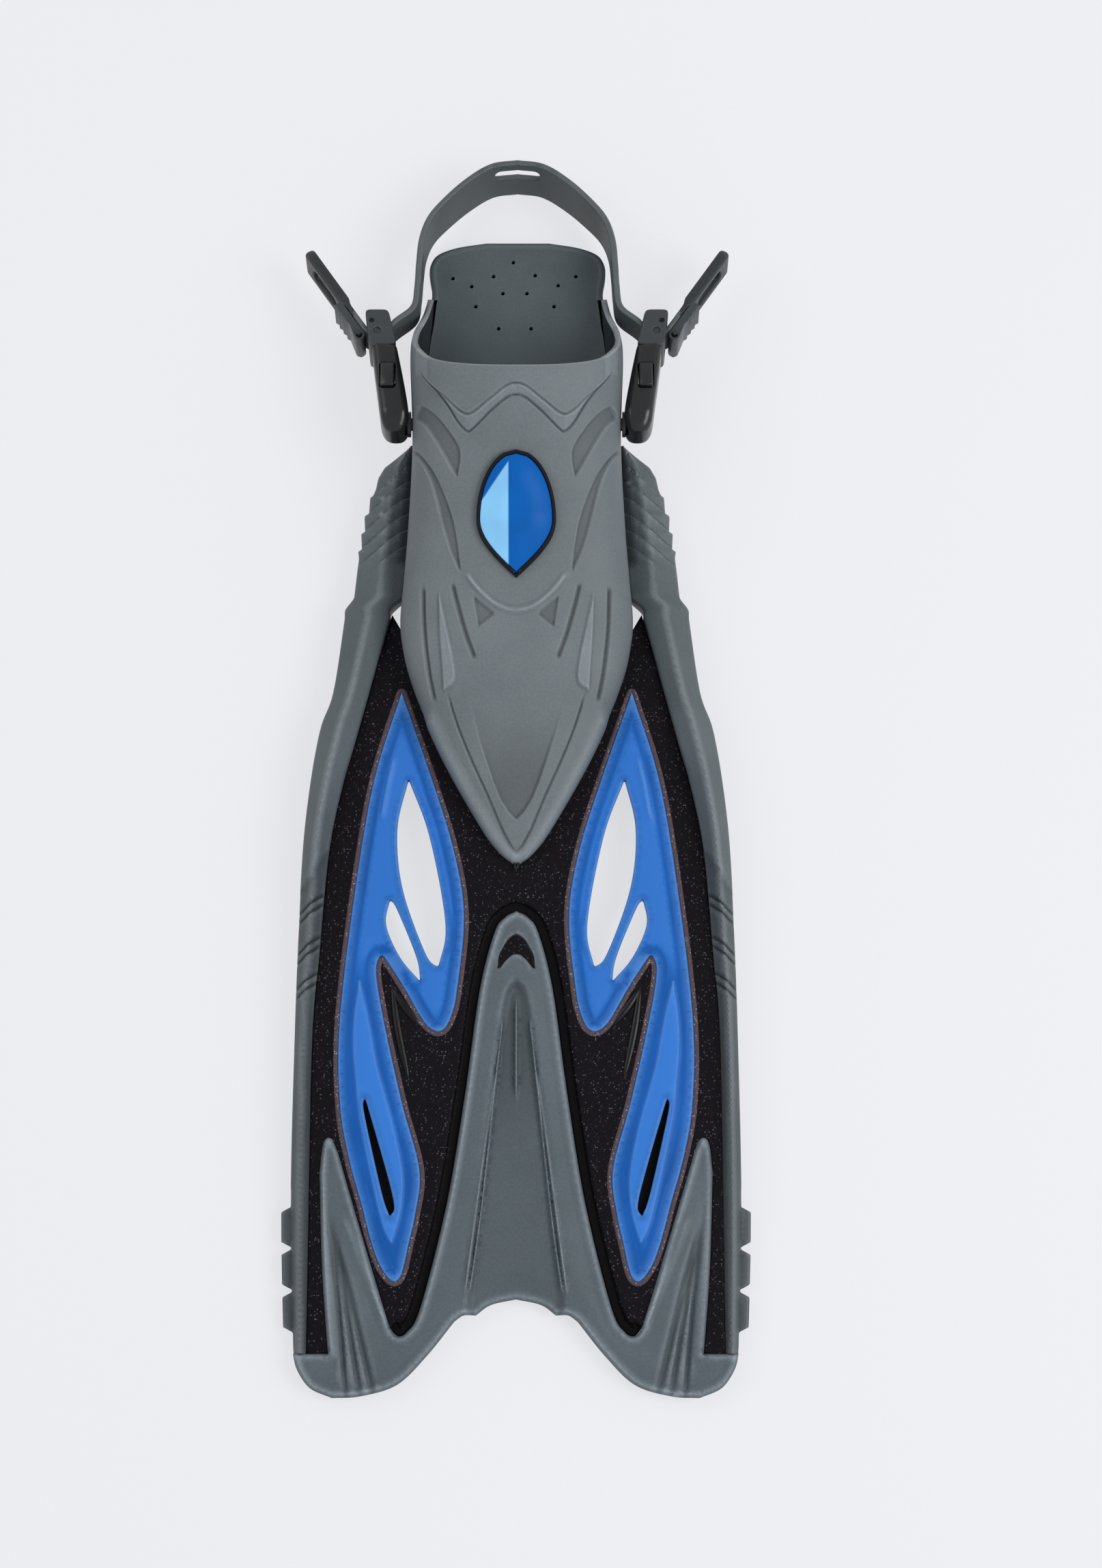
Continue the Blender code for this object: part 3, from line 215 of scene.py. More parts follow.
def on_blade(percent, side=1):
    """Points in percent of the blade, in millimetres on one of its sides."""
    points = np.array(percent, float)
    return np.column_stack((side * points[:, 0] / 100 * BLADE_HALF_WIDTH, side_y(points[:, 1])))


def mirrored(points):
    return np.array(points, float)[::-1] * (-1, 1)


def spaced(points, pitch, closed=True):
    """The path with extra points, so that none lie further apart than the pitch."""
    ends = np.roll(points, -1, axis=0) if closed else points[1:]
    rows = []
    for start, end in zip(points, ends):
        count = max(1, math.ceil(np.linalg.norm(end - start) / pitch))
        rows.append(start + (end - start) * np.arange(count)[:, None] / count)
    return np.vstack(rows if closed else rows + [points[-1:]])


# Spacing of a loop's points while its corners are rounded off
WEAR_STEP = 0.8


def rounded(loop, passes=8):
    """A loop with its corners rounded off."""
    loop = spaced(loop, WEAR_STEP)
    for _ in range(passes):
        loop = (np.roll(loop, 1, axis=0) + 2 * loop + np.roll(loop, -1, axis=0)) / 4
    return loop


# Points that one step of a search takes, to keep its arrays small
BLOCK = 2000


def path_distance(points, path, closed=False):
    """How far points lie from a path, and the share of the path where each is nearest to it."""
    starts = np.asarray(path, float)
    ends = np.roll(starts, -1, axis=0) if closed else starts[1:]
    starts = starts[:len(ends)]
    along = ends - starts
    size = np.maximum((along ** 2).sum(1), 1e-12)
    lengths = np.sqrt(size)
    before = np.concatenate(([0], np.cumsum(lengths)[:-1]))
    far = np.empty(len(points))
    share = np.empty(len(points))
    for low in range(0, len(points), BLOCK):
        block = points[low:low + BLOCK]
        gap = block[:, None, :] - starts[None]
        t = np.clip((gap * along).sum(2) / size, 0, 1)
        off = ((gap - t[..., None] * along) ** 2).sum(2)
        best = off.argmin(1)
        row = np.arange(len(block))
        far[low:low + BLOCK] = np.sqrt(off[row, best])
        share[low:low + BLOCK] = (before[best] + t[row, best] * lengths[best]) / lengths.sum()
    return far, share


def inside(points, loops):
    """True for the points inside an odd number of the loops."""
    odd = np.zeros(len(points), bool)
    for loop in loops:
        start = np.asarray(loop, float)
        end = np.roll(start, -1, axis=0)
        run, climb = (end - start).T
        climb = np.where(climb == 0, 1, climb)
        for low in range(0, len(points), BLOCK):
            block = points[low:low + BLOCK]
            x, y = block[:, :1], block[:, 1:]
            across = start[:, 0] + (y - start[:, 1]) * run / climb
            crossed = ((start[:, 1] > y) != (end[:, 1] > y)) & (x < across)
            odd[low:low + BLOCK] ^= crossed.sum(1) % 2 == 1
    return odd


def sideways(path, closed):
    """Unit normals of a path."""
    path = np.asarray(path, float)
    if closed:
        way = np.roll(path, -1, axis=0) - np.roll(path, 1, axis=0)
    else:
        way = np.gradient(path, axis=0)
    way /= np.maximum(np.linalg.norm(way, axis=1), 1e-9)[:, None]
    return np.column_stack((-way[:, 1], way[:, 0]))


def grown(loop, margin):
    """A loop moved outward by the margin, inward where it is negative."""
    x, y = loop[:, 0], loop[:, 1]
    area = (x * np.roll(y, -1) - np.roll(x, -1) * y).sum()
    return loop - sideways(loop, True) * margin * math.copysign(1, area)


def ridge(line, width, height, fade=0.2, steps=8):
    """A raised or sunken line on a surface, which fades out over a share of its length at both ends."""
    return {"path": curve(line, steps), "width": width, "height": height, "fade": fade, "closed": False}


def patch(loop, height, slope):
    """A raised or sunken area with sloping sides."""
    return {"path": np.asarray(loop, float), "width": slope, "height": height, "closed": True}


def both_sides(marks):
    """The marks and their mirror images."""
    return list(marks) + [{**mark, "path": mirrored(mark["path"])} for mark in marks]


def ease(t):
    """A smooth step from 0 to 1."""
    t = np.clip(t, 0, 1)
    return t * t * (3 - 2 * t)


def bell(t, middle, width):
    """1 at the middle, falling off smoothly on both sides."""
    return np.exp(-((t - middle) / width) ** 2)


def turns(count):
    """Angles of the points of a circle."""
    return np.linspace(0, math.tau, count + 1)[:-1]


def relief(points, marks):
    """Height that the marks add at each point."""
    height = np.zeros(len(points))
    for mark in marks:
        low = mark["path"].min(0) - mark["width"]
        high = mark["path"].max(0) + mark["width"]
        near = np.flatnonzero(((points > low) & (points < high)).all(1))
        if not len(near):
            continue
        spot = points[near]
        far, share = path_distance(spot, mark["path"], mark["closed"])
        if mark["closed"]:
            signed = np.where(inside(spot, [mark["path"]]), far, -far)
            height[near] += mark["height"] * ease(0.5 + signed / mark["width"])
        else:
            ends = np.minimum(share, 1 - share) / max(mark["fade"], 1e-6)
            height[near] += mark["height"] * ease(1 - far / mark["width"]) * ease(ends)
    return height


def edge_drop(depth, radius):
    """How far a rounded edge falls below the face at a distance in from it."""
    run = np.clip(radius - depth, 0, radius)
    return radius - np.sqrt(radius ** 2 - run ** 2)


def rise(y):
    """Lift of the flat blade and sole stack along the fin."""
    return np.interp(y, [knot[0] for knot in RISE], [knot[1] for knot in RISE])


def enclosed(flat, faces, walled, loops):
    """The triangles inside the loops.

    Whole regions between walled edges are kept or left out, each by where its largest triangle lies.
    """
    sharing = {}
    for i, face in enumerate(faces):
        for a, b in zip(face, face[1:] + face[:1]):
            sharing.setdefault((min(a, b), max(a, b)), []).append(i)
    beside = [[] for _ in faces]
    for edge, pair in sharing.items():
        if len(pair) == 2 and edge not in walled:
            beside[pair[0]].append(pair[1])
            beside[pair[1]].append(pair[0])
    corners = flat[np.array(faces)]
    sides = corners[:, 1:] - corners[:, :1]
    size = np.abs(sides[:, 0, 0] * sides[:, 1, 1] - sides[:, 0, 1] * sides[:, 1, 0])
    within = inside(corners.mean(1), loops)
    kept = np.zeros(len(faces), bool)
    seen = np.zeros(len(faces), bool)
    for start in np.argsort(-size):
        if seen[start]:
            continue
        seen[start] = True
        region = [start]
        for i in region:
            for j in beside[i]:
                if not seen[j]:
                    seen[j] = True
                    region.append(j)
        kept[region] = within[start]
    return np.array(faces)[kept]


# Points of a plate: least gap between its inner points, but for those that follow its edges; share of a
# ring's depth that its points keep; spacing and reach of a mark's points, spacing of the grid's rows and
# its gap from the last ring, as shares of the pitch or the mark's width; distance at which points are one;
# depths of the rings
LEAST = 0.3
RING_KEEP = 0.9
MARK_STEP = 0.7
MARK_REACH = 0.6
ROW_STEP = 0.87
GRID_GAP = 0.35
SAME_POINT = 0.02
RINGS = (0.12, 0.4, 0.9, 1.6)


def plate_points(loops, pitch, marks, rings):
    """Points for a plate inside the loops: along its edges, rings in from them, marks and an even grid."""

    def clear_of_edges(points, least):
        points = points[inside(points, loops)]
        return points[np.min([path_distance(points, loop, True)[0] for loop in loops], axis=0) >= least]

    kept = [clear_of_edges(loop + sideways(loop, True) * way * ring, RING_KEEP * ring)
            for loop in loops for ring in rings for way in (1, -1)]
    firm = sum(map(len, kept))
    for mark in marks:
        path = spaced(mark["path"], pitch * MARK_STEP, mark["closed"])
        across = sideways(path, mark["closed"]) * mark["width"] * MARK_REACH
        kept += [clear_of_edges(path + across * share, LEAST) for share in (0, -0.5, 0.5, -1, 1)]
    low, high = loops[0].min(0), loops[0].max(0)
    columns = np.arange(low[0], high[0], pitch)
    rows = np.arange(low[1], high[1], pitch * ROW_STEP)
    grid_x, grid_y = np.meshgrid(columns, rows)
    grid_x = grid_x + (np.arange(len(rows)) % 2)[:, None] * pitch / 2
    grid = np.column_stack((grid_x.ravel(), grid_y.ravel()))
    kept.append(clear_of_edges(grid, rings[-1] + GRID_GAP * pitch))
    kept = np.vstack(kept)
    first = np.sort(np.unique(np.round(kept / LEAST), axis=0, return_index=True)[1])
    return np.vstack(loops + [kept[:firm], kept[first[first >= firm]]])


def plate_triangles(points, loops):
    """Points and triangles that fill the loops, whose own points come first."""
    edges = []
    for loop in loops:
        first = len(edges)
        edges += [(first + i, first + (i + 1) % len(loop)) for i in range(len(loop))]
    corners = [Vector(point) for point in points]
    flat, lines, faces, _, sources, _ = delaunay_2d_cdt(corners, edges, [], 0, SAME_POINT)
    flat = np.array([tuple(point) for point in flat])
    walled = {tuple(sorted(line)) for line, source in zip(lines, sources) if source}
    return flat, enclosed(flat, faces, walled, loops)


def rim_walls(faces, count):
    """Walls between the rim of a plate's top and that of its bottom, whose points follow the top's."""
    sides = np.vstack((faces[:, (0, 1)], faces[:, (1, 2)], faces[:, (2, 0)]))
    key = np.sort(sides, axis=1)
    _, index, times = np.unique(key[:, 0] * count + key[:, 1], return_index=True, return_counts=True)
    rim = sides[index[times == 1]]
    return np.column_stack((rim[:, 1], rim[:, 0], rim[:, 0] + count, rim[:, 1] + count))


def relief_mesh(name, loops, pitch, top, bottom, marks=(), place=None, rings=RINGS, painted_shading=None):
    """A closed plate inside the loops, with top(x, y, depth) and bottom(x, y, depth) as its faces.

    Depth is the distance in from the nearest edge. The top keeps the marks' height. That height, and the
    painted light and shade that the shading function (x, y, depth) adds to it, go to the relief attribute,
    from which the finishes paint light and shade.
    """
    loops = [spaced(loop, pitch) for loop in loops]
    flat, faces = plate_triangles(plate_points(loops, pitch, marks, rings), loops)
    depth = np.full(len(flat), np.inf)
    for loop in loops:
        depth = np.minimum(depth, path_distance(flat, loop, True)[0])
    x, y = flat[:, 0], flat[:, 1]
    lift = relief(flat, marks)
    upper = top(x, y, depth) + lift
    # Painted light and shade go into the relief attribute only, not into the shape
    if painted_shading:
        lift = lift + painted_shading(x, y, depth)
    lower = bottom(x, y, depth)
    count = len(flat)
    points = np.vstack((np.column_stack((x, y, upper)), np.column_stack((x, y, lower))))
    if place:
        points = place(points)
    polygons = faces.tolist() + (faces[:, ::-1] + count).tolist() + rim_walls(faces, count).tolist()
    return finished_mesh(name, points, polygons, lift=np.concatenate((lift, np.zeros(count))))


def finished_mesh(name, points, polygons, sharp=42, lift=None):
    """A mesh in metres from points in millimetres, smooth but for edges over the sharp angle."""
    mesh = bpy.data.meshes.new(name)
    mesh.from_pydata((np.asarray(points) * MM).tolist(), [], polygons)
    # The lift, a height that may hold painted light and shade, is stored for the finishes
    if lift is not None:
        mesh.attributes.new(RELIEF, "FLOAT", "POINT").data.foreach_set("value", np.ravel(lift))
    bm = bmesh.new()
    bm.from_mesh(mesh)
    loose = [vert for vert in bm.verts if not vert.link_faces]
    bmesh.ops.delete(bm, geom=loose, context="VERTS")
    bmesh.ops.recalc_face_normals(bm, faces=bm.faces)
    bm.to_mesh(mesh)
    bm.free()
    mesh.shade_smooth()
    mesh.set_sharp_from_angle(angle=math.radians(sharp))
    return mesh


def grid_mesh(name, rows, cap=False, closed=False, ring=False, lift=None):
    """A skin through rows with equal numbers of points.

    Closed rows join end to end, and a ring's last row joins its first.
    """
    rows = np.asarray(rows, float)
    count, width = rows.shape[:2]
    index = np.arange(count * width).reshape(count, width)
    if closed:
        index = np.column_stack((index, index[:, :1]))
    if ring:
        index = np.vstack((index, index[:1]))
    corners = (index[:-1, :-1], index[:-1, 1:], index[1:, 1:], index[1:, :-1])
    polygons = np.stack(corners, axis=-1).reshape(-1, 4).tolist()
    if cap:
        polygons += [index[0, :width].tolist(), index[-1, :width].tolist()]
    return finished_mesh(name, rows.reshape(-1, 3), polygons, lift=lift)


def add_piece(mesh, material, body, slot, *nodes):
    """Puts a mesh in the scene as a piece that rides on a body and stands for CAD nodes."""
    piece = bpy.data.objects.new(mesh.name, mesh)
    bpy.context.scene.collection.objects.link(piece)
    mesh.materials.clear()
    mesh.materials.append(material)
    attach(piece, body)
    if nodes:
        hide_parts(*nodes)
    return piece


def srgb(text):
    """Linear colour of an sRGB hex value."""
    channels = [int(text[i:i + 2], 16) / 255 for i in (1, 3, 5)]
    return tuple(c / 12.92 if c <= 0.04045 else ((c + 0.055) / 1.055) ** 2.4 for c in channels) + (1.0,)


def per_mm(size):
    """Texture scale that gives a pattern of that size in millimetres."""
    return 1 / (size * MM)


def fill_sockets(tree, node, sockets):
    """Gives a node's sockets their values, or their links from other nodes' outputs."""
    for key, value in sockets.items():
        if isinstance(value, bpy.types.NodeSocket):
            tree.links.new(value, node.inputs[key])
        else:
            node.inputs[key].default_value = value


def add_node(tree, kind, output, sockets=None, stops=(), **settings):
    """Adds a shader node with its settings, values, links and (place, hex or grey level) stops.

    It returns one of the node's outputs.
    """
    made = tree.nodes.new(kind)
    for key, value in settings.items():
        setattr(made, key, value)
    fill_sockets(tree, made, sockets or {})
    if stops:
        elements = made.color_ramp.elements
        while len(elements) < len(stops):
            elements.new(0.5)
        for element, (place, tone) in zip(elements, stops):
            element.position = place
            element.color = srgb(tone) if isinstance(tone, str) else (tone, tone, tone, 1.0)
    return made.outputs[output]


def new_material(name):
    material = bpy.data.materials.new(name)
    material.use_nodes = True
    tree = material.node_tree
    return material, tree, tree.nodes["Principled BSDF"]


# Kinds of node that recur. A mix's sockets go by number, since its names recur: 0 is the share of the second
# colour, 6 and 7 are the colours and 2 is the result.
RAMP = "ShaderNodeValToRGB"
NOISE = "ShaderNodeTexNoise"
BUMP = "ShaderNodeBump"
MATHS = "ShaderNodeMath"
RANGE = "ShaderNodeMapRange"
MIX = "ShaderNodeMix"
BLENDED = {"data_type": "RGBA"}
MULTIPLIED = {"data_type": "RGBA", "blend_type": "MULTIPLY"}

# Painted shade in sharp inner corners: how dark a finish is there, by their pointiness
GROOVE_SHADE = [(0.42, 0.55), (0.49, 1.0)]

# Thermoplastic rubber from a spark-eroded mould: a matt grey with a fine even grain, a little cloudy, with a
# painted highlight along its rounded edges, painted light on raised marks and painted shade on sunken ones,
# from the relief attribute, and painted shade in its grooves. The grain is drawn at 1.1 mm, coarser than the
# real one, so that it shows.
GRAIN = 1.1
CLOUD = 38.0
RELIEF_RANGE = 2.0
RELIEF_SHADE = [(0.0, 0.46), (0.5, 0.78), (1.0, 1.1)]


def moulded_rubber(name, tone, deep, edge_highlight, roughness):
    material, tree, shader = new_material(name)
    place = add_node(tree, "ShaderNodeTexCoord", "Object")
    point = add_node(tree, "ShaderNodeNewGeometry", "Pointiness")
    cloud = add_node(tree, NOISE, "Fac", {"Vector": place, "Scale": per_mm(CLOUD), "Detail": 3.0})
    grain = add_node(tree, NOISE, "Fac", {"Vector": place, "Scale": per_mm(GRAIN), "Detail": 2.0})
    # Painted highlight: the rounded edges turn pale
    edge = add_node(tree, RAMP, "Color", {"Fac": point}, [(0.51, 0.0), (0.59, 1.0)])
    fleck = add_node(tree, RAMP, "Color", {"Fac": grain}, [(0.35, 0.92), (0.65, 1.05)])
    groove = add_node(tree, RAMP, "Color", {"Fac": point}, GROOVE_SHADE)
    stands = add_node(tree, "ShaderNodeAttribute", "Fac", attribute_name=RELIEF)
    stands = add_node(tree, RANGE, "Result",
                      {"Value": stands, "From Min": -RELIEF_RANGE, "From Max": RELIEF_RANGE})
    # Painted light and shade: paler where the relief stands up, darker where it sinks
    raised = add_node(tree, RAMP, "Color", {"Fac": stands}, RELIEF_SHADE)
    body = add_node(tree, RAMP, "Color", {"Fac": cloud}, [(0.30, deep), (0.70, tone)])
    colour = add_node(tree, MIX, 2, {0: edge, 6: body, 7: srgb(edge_highlight)}, **BLENDED)
    for shade in (fleck, groove, raised):
        colour = add_node(tree, MIX, 2, {0: 1.0, 6: colour, 7: shade}, **MULTIPLIED)
    rough = add_node(tree, RAMP, "Color", {"Fac": grain}, [(0.3, roughness - 0.07), (0.7, roughness + 0.07)])
    bump = add_node(tree, BUMP, "Normal", {"Height": grain, "Strength": 0.2, "Distance": 0.1 * MM})
    fill_sockets(tree, shader, {"Base Color": colour, "Roughness": rough, "Normal": bump, "IOR": 1.52,
                                "Specular IOR Level": 0.26})
    return material


# Polypropylene sheet, rolled with mica in it: near black and faintly violet, with small flecks of brown and
# grey, and painted shade, plain black, in its sunken band. The flecks are drawn at 0.9 mm so that they show.
FLECK = 0.9
FLECK_HUES = (0.48, 0.62, 0.72, 0.82)
SUNKEN_SHADE_TONE = "#08070a"
SUNKEN_SHADE_START, SUNKEN_SHADE_FULL = -0.4, -1.7


def flecked_polypropylene(name, base, *flecks):
    material, tree, shader = new_material(name)
    place = add_node(tree, "ShaderNodeTexCoord", "Object")
    cells = {"Vector": place, "Scale": per_mm(FLECK)}
    distance = add_node(tree, "ShaderNodeTexVoronoi", "Distance", cells)
    cell = add_node(tree, "ShaderNodeTexVoronoi", "Color", cells)
    near = add_node(tree, RAMP, "Color", {"Fac": distance}, [(0.22, 1.0), (0.46, 0.0)])
    hue = add_node(tree, RAMP, "Color", {"Fac": cell}, list(zip(FLECK_HUES, (base,) + flecks)))
    stands = add_node(tree, "ShaderNodeAttribute", "Fac", attribute_name=RELIEF)
    sunken = add_node(tree, RANGE, "Result", {"Value": stands, "From Min": SUNKEN_SHADE_START, "From Max": SUNKEN_SHADE_FULL})
    flecked = add_node(tree, MIX, 2, {0: near, 6: srgb(base), 7: hue}, **BLENDED)
    # Painted shade: the sunken band turns plain black
    colour = add_node(tree, MIX, 2, {0: sunken, 6: flecked, 7: srgb(SUNKEN_SHADE_TONE)}, **BLENDED)
    rough = add_node(tree, RAMP, "Color", {"Fac": near}, [(0.0, 0.56), (1.0, 0.36)])
    bump = add_node(tree, BUMP, "Normal", {"Height": near, "Strength": 0.1, "Distance": 0.05 * MM})
    fill_sockets(tree, shader, {"Base Color": colour, "Roughness": rough, "Normal": bump, "IOR": 1.49,
                                "Specular IOR Level": 0.07})
    return material


# Polyurethane elastomer cast against a polished mould: a deep blue with a satin skin, a painted highlight
# over ridges and painted shade in sharp grooves, paler in a field inside its border, and faint flow clouds.
FIELD = "inner_field"
FLOW = 26.0
SKIN = 1.6


def satin_elastomer(name, tone, deep, field_tone, crest, roughness):
    material, tree, shader = new_material(name)
    place = add_node(tree, "ShaderNodeTexCoord", "Object")
    point = add_node(tree, "ShaderNodeNewGeometry", "Pointiness")
    flow = add_node(tree, NOISE, "Fac",
                    {"Vector": place, "Scale": per_mm(FLOW), "Detail": 2.0, "Distortion": 0.6})
    skin = add_node(tree, NOISE, "Fac", {"Vector": place, "Scale": per_mm(SKIN), "Detail": 1.0})
    border = add_node(tree, RAMP, "Color", {"Fac": flow}, [(0.30, deep), (0.70, tone)])
    field = add_node(tree, "ShaderNodeAttribute", "Fac", attribute_name=FIELD)
    body = add_node(tree, MIX, 2, {0: field, 6: border, 7: srgb(field_tone)}, **BLENDED)
    edge = add_node(tree, RAMP, "Color", {"Fac": point}, [(0.505, 0.0), (0.57, 1.0)])
    crested = add_node(tree, MIX, 2, {0: edge, 6: body, 7: srgb(crest)}, **BLENDED)
    groove = add_node(tree, RAMP, "Color", {"Fac": point}, GROOVE_SHADE)
    colour = add_node(tree, MIX, 2, {0: 1.0, 6: crested, 7: groove}, **MULTIPLIED)
    rough = add_node(tree, RAMP, "Color", {"Fac": skin}, [(0.3, roughness - 0.05), (0.7, roughness + 0.05)])
    bump = add_node(tree, BUMP, "Normal", {"Height": skin, "Strength": 0.06, "Distance": 0.06 * MM})
    fill_sockets(tree, shader, {"Base Color": colour, "Roughness": rough, "Normal": bump, "IOR": 1.5,
                                "Specular IOR Level": 0.16})
    return material


# Acetal moulded against polished steel: black, with sharp highlights, a painted highlight on its sharpest
# edges, a slight waviness and fine handling scuffs that dull it here and there.
WAVE = 7.0
SCUFF = 5.0


def polished_acetal(name, base, edge_highlight, roughness, shine=0.5):
    material, tree, shader = new_material(name)
    place = add_node(tree, "ShaderNodeTexCoord", "Object")
    point = add_node(tree, "ShaderNodeNewGeometry", "Pointiness")
    wave = add_node(tree, NOISE, "Fac", {"Vector": place, "Scale": per_mm(WAVE), "Detail": 1.0})
    scuff = add_node(tree, NOISE, "Fac", {"Vector": place, "Scale": per_mm(SCUFF), "Detail": 2.0})
    # Painted highlight: the sharpest edges turn pale
    edge = add_node(tree, RAMP, "Color", {"Fac": point}, [(0.53, 0.0), (0.64, 1.0)])
    colour = add_node(tree, MIX, 2, {0: edge, 6: srgb(base), 7: srgb(edge_highlight)}, **BLENDED)
    rough = add_node(tree, RAMP, "Color", {"Fac": scuff}, [(0.42, roughness), (0.75, roughness + 0.08)])
    bump = add_node(tree, BUMP, "Normal", {"Height": wave, "Strength": 0.06, "Distance": 0.2 * MM})
    fill_sockets(tree, shader, {"Base Color": colour, "Roughness": rough, "Normal": bump, "IOR": 1.48,
                                "Specular IOR Level": shine})
    return material


# Enamelled badge face: a clear gloss over a full blue, with a painted reflection on its left: one pale facet,
# cut off by a slanting line towards the heel, which the smooth face does not have. The facet's edges are soft
# over a small width.
ENAMEL_CLOUD = 14.0
FACET_SIDE = 0.35
FACET_END = 0.5


def enamelled_badge(name, light, full, edge_x, slope, end):
    material, tree, shader = new_material(name)
    place = add_node(tree, "ShaderNodeTexCoord", "Object")
    x = add_node(tree, "ShaderNodeSeparateXYZ", "X", {"Vector": place})
    y = add_node(tree, "ShaderNodeSeparateXYZ", "Y", {"Vector": place})
    across = add_node(tree, RANGE, "Result", {"Value": x, "From Min": (edge_x + FACET_SIDE) * MM,
                                              "From Max": (edge_x - FACET_SIDE) * MM})
    lean = add_node(tree, MATHS, 0, {0: x, 1: slope, 2: y}, operation="MULTIPLY_ADD")
    below = add_node(tree, RANGE, "Result", {"Value": lean, "From Min": (end + FACET_END) * MM,
                                             "From Max": (end - FACET_END) * MM})
    both = add_node(tree, MATHS, 0, {0: across, 1: below}, operation="MULTIPLY")
    # Painted reflection: pale on the left, up to the slanting line towards the heel
    facet = add_node(tree, RAMP, "Color", {"Fac": both}, [(0.0, full), (1.0, light)])
    soft = add_node(tree, NOISE, "Fac", {"Vector": place, "Scale": per_mm(ENAMEL_CLOUD), "Detail": 1.0})
    cloud = add_node(tree, RAMP, "Color", {"Fac": soft}, [(0.3, 0.90), (0.7, 1.0)])
    colour = add_node(tree, MIX, 2, {0: 1.0, 6: facet, 7: cloud}, **MULTIPLIED)
    fill_sockets(tree, shader, {"Base Color": colour, "Roughness": 0.34, "Specular IOR Level": 0.09})
    return material


# Drawn steel, blackened: a dark metal with fine lines along the pin.
DRAWN_LINE = 0.4
DRAWN_STRETCH = (1.0, 1.0, 0.05)


def drawn_steel(name, tone, pale):
    material, tree, shader = new_material(name)
    place = add_node(tree, "ShaderNodeTexCoord", "Object")
    stretch = add_node(tree, "ShaderNodeMapping", "Vector", {"Vector": place, "Scale": DRAWN_STRETCH})
    lines = add_node(tree, NOISE, "Fac", {"Vector": stretch, "Scale": per_mm(DRAWN_LINE)})
    colour = add_node(tree, RAMP, "Color", {"Fac": lines}, [(0.3, tone), (0.7, pale)])
    rough = add_node(tree, RAMP, "Color", {"Fac": lines}, [(0.3, 0.22), (0.7, 0.40)])
    fill_sockets(tree, shader, {"Base Color": colour, "Roughness": rough, "Metallic": 1.0})
    return material


# Painted floor: pale and even. It glows a little to the camera and in reflections, so that it stays pale, and
# keeps the soft shadow under the fin.
FLOOR_GLOW = 0.7
FLOOR = 60000.0
FLOOR_LEVEL = -0.6


def pale_floor(name, tone, glow_tone):
    material, tree, shader = new_material(name)
    fill_sockets(tree, shader, {"Base Color": srgb(tone), "Roughness": 0.9, "Specular IOR Level": 0.1})
    glossy = add_node(tree, "ShaderNodeLightPath", "Is Glossy Ray")
    clear = add_node(tree, "ShaderNodeLightPath", "Is Transmission Ray")
    direct = add_node(tree, "ShaderNodeLightPath", "Is Camera Ray")
    shiny = add_node(tree, MATHS, 0, {0: glossy, 1: clear}, operation="ADD")
    seen = add_node(tree, MATHS, 0, {0: direct, 1: shiny}, operation="MAXIMUM")
    amount = add_node(tree, MATHS, 0, {0: seen, 1: FLOOR_GLOW}, operation="MULTIPLY")
    glow = add_node(tree, "ShaderNodeEmission", 0, {"Color": srgb(glow_tone), "Strength": 1.0})
    shown = add_node(tree, "ShaderNodeMixShader", 0, {0: amount, 1: shader.outputs[0], 2: glow})
    fill_sockets(tree, tree.nodes["Material Output"], {"Surface": shown})
    return material


def finish_table(looks):
    """Maker, name and values of each finish."""
    return {
        "pocket": (moulded_rubber, "pocket_rubber_moulded", looks.pocket_tone, "#6f777c", "#959ba0", 0.58),
        # A darker copy of the pocket's rubber for its inside: painted shade
        "pocket_inside_shade": (moulded_rubber, "lining_rubber_moulded", "#343a3d", "#2d3336", "#3e4548", 0.70),
        "rail": (moulded_rubber, "rail_rubber_moulded", looks.rail_tone, "#50585c", "#7b8287", 0.52),
        "tip": (moulded_rubber, "tip_rubber_moulded", looks.tip_tone, "#566168", "#8a939a", 0.50),
        "bed": (moulded_rubber, "footbed_rubber_moulded", "#5b656a", "#515b60", "#6b757a", 0.66),
        "strap": (moulded_rubber, "strap_rubber_moulded", "#5f6568", "#52585b", "#7a8083", 0.50),
        "tab": (moulded_rubber, "tab_rubber_moulded", "#303437", "#292d2f", "#52575a", 0.40),
        "panel": (flecked_polypropylene, "panel_polypropylene_flecked", looks.panel_tone,
                  "#1a171c", "#2b262d", "#5a525b"),
        "seam": (flecked_polypropylene, "seam_polypropylene_flecked", "#4f444b",
                 "#5d5157", "#846c70", "#a3969b"),
        "insert": (satin_elastomer, "insert_elastomer_cast", looks.insert_tone, "#0b4f9a", "#3173c8",
                   "#5a92d8", 0.44),
        "gloss": (polished_acetal, "buckle_acetal_polished", "#191c1e", "#232628", 0.26),
        "clip": (polished_acetal, "clip_acetal_satin", "#33383b", "#50555a", 0.36),
        "bezel": (polished_acetal, "bezel_acetal_polished", "#0d0d10", "#17181c", 0.28, 0.25),
        "badge": (enamelled_badge, "badge_enamel_gloss", "#86c6f2", "#0a5cae", -3.6, -1.36, 137.9),
        "steel": (drawn_steel, "pin_steel_blackened", "#3c4043", "#54585b"),
    }


class FinMaterials:
    """The fin's finishes, each made once, when the first piece asks for it."""

    def __init__(self):
        self.made = {}

    def get(self, name):
        if name not in self.made:
            maker, *values = finish_table(bpy.context.scene.swim_fin)[name]
            self.made[name] = maker(*values)
        return self.made[name]


finishes = FinMaterials()


def whole(half):
    """A closed outline from its right half, which runs from centre line to centre line."""
    left = mirrored(half)
    return np.vstack((half, left[np.abs(left[:, 0]) > 1e-6]))


# Half width of the panel where it ends at the toe
PANEL_HORN = 54.8


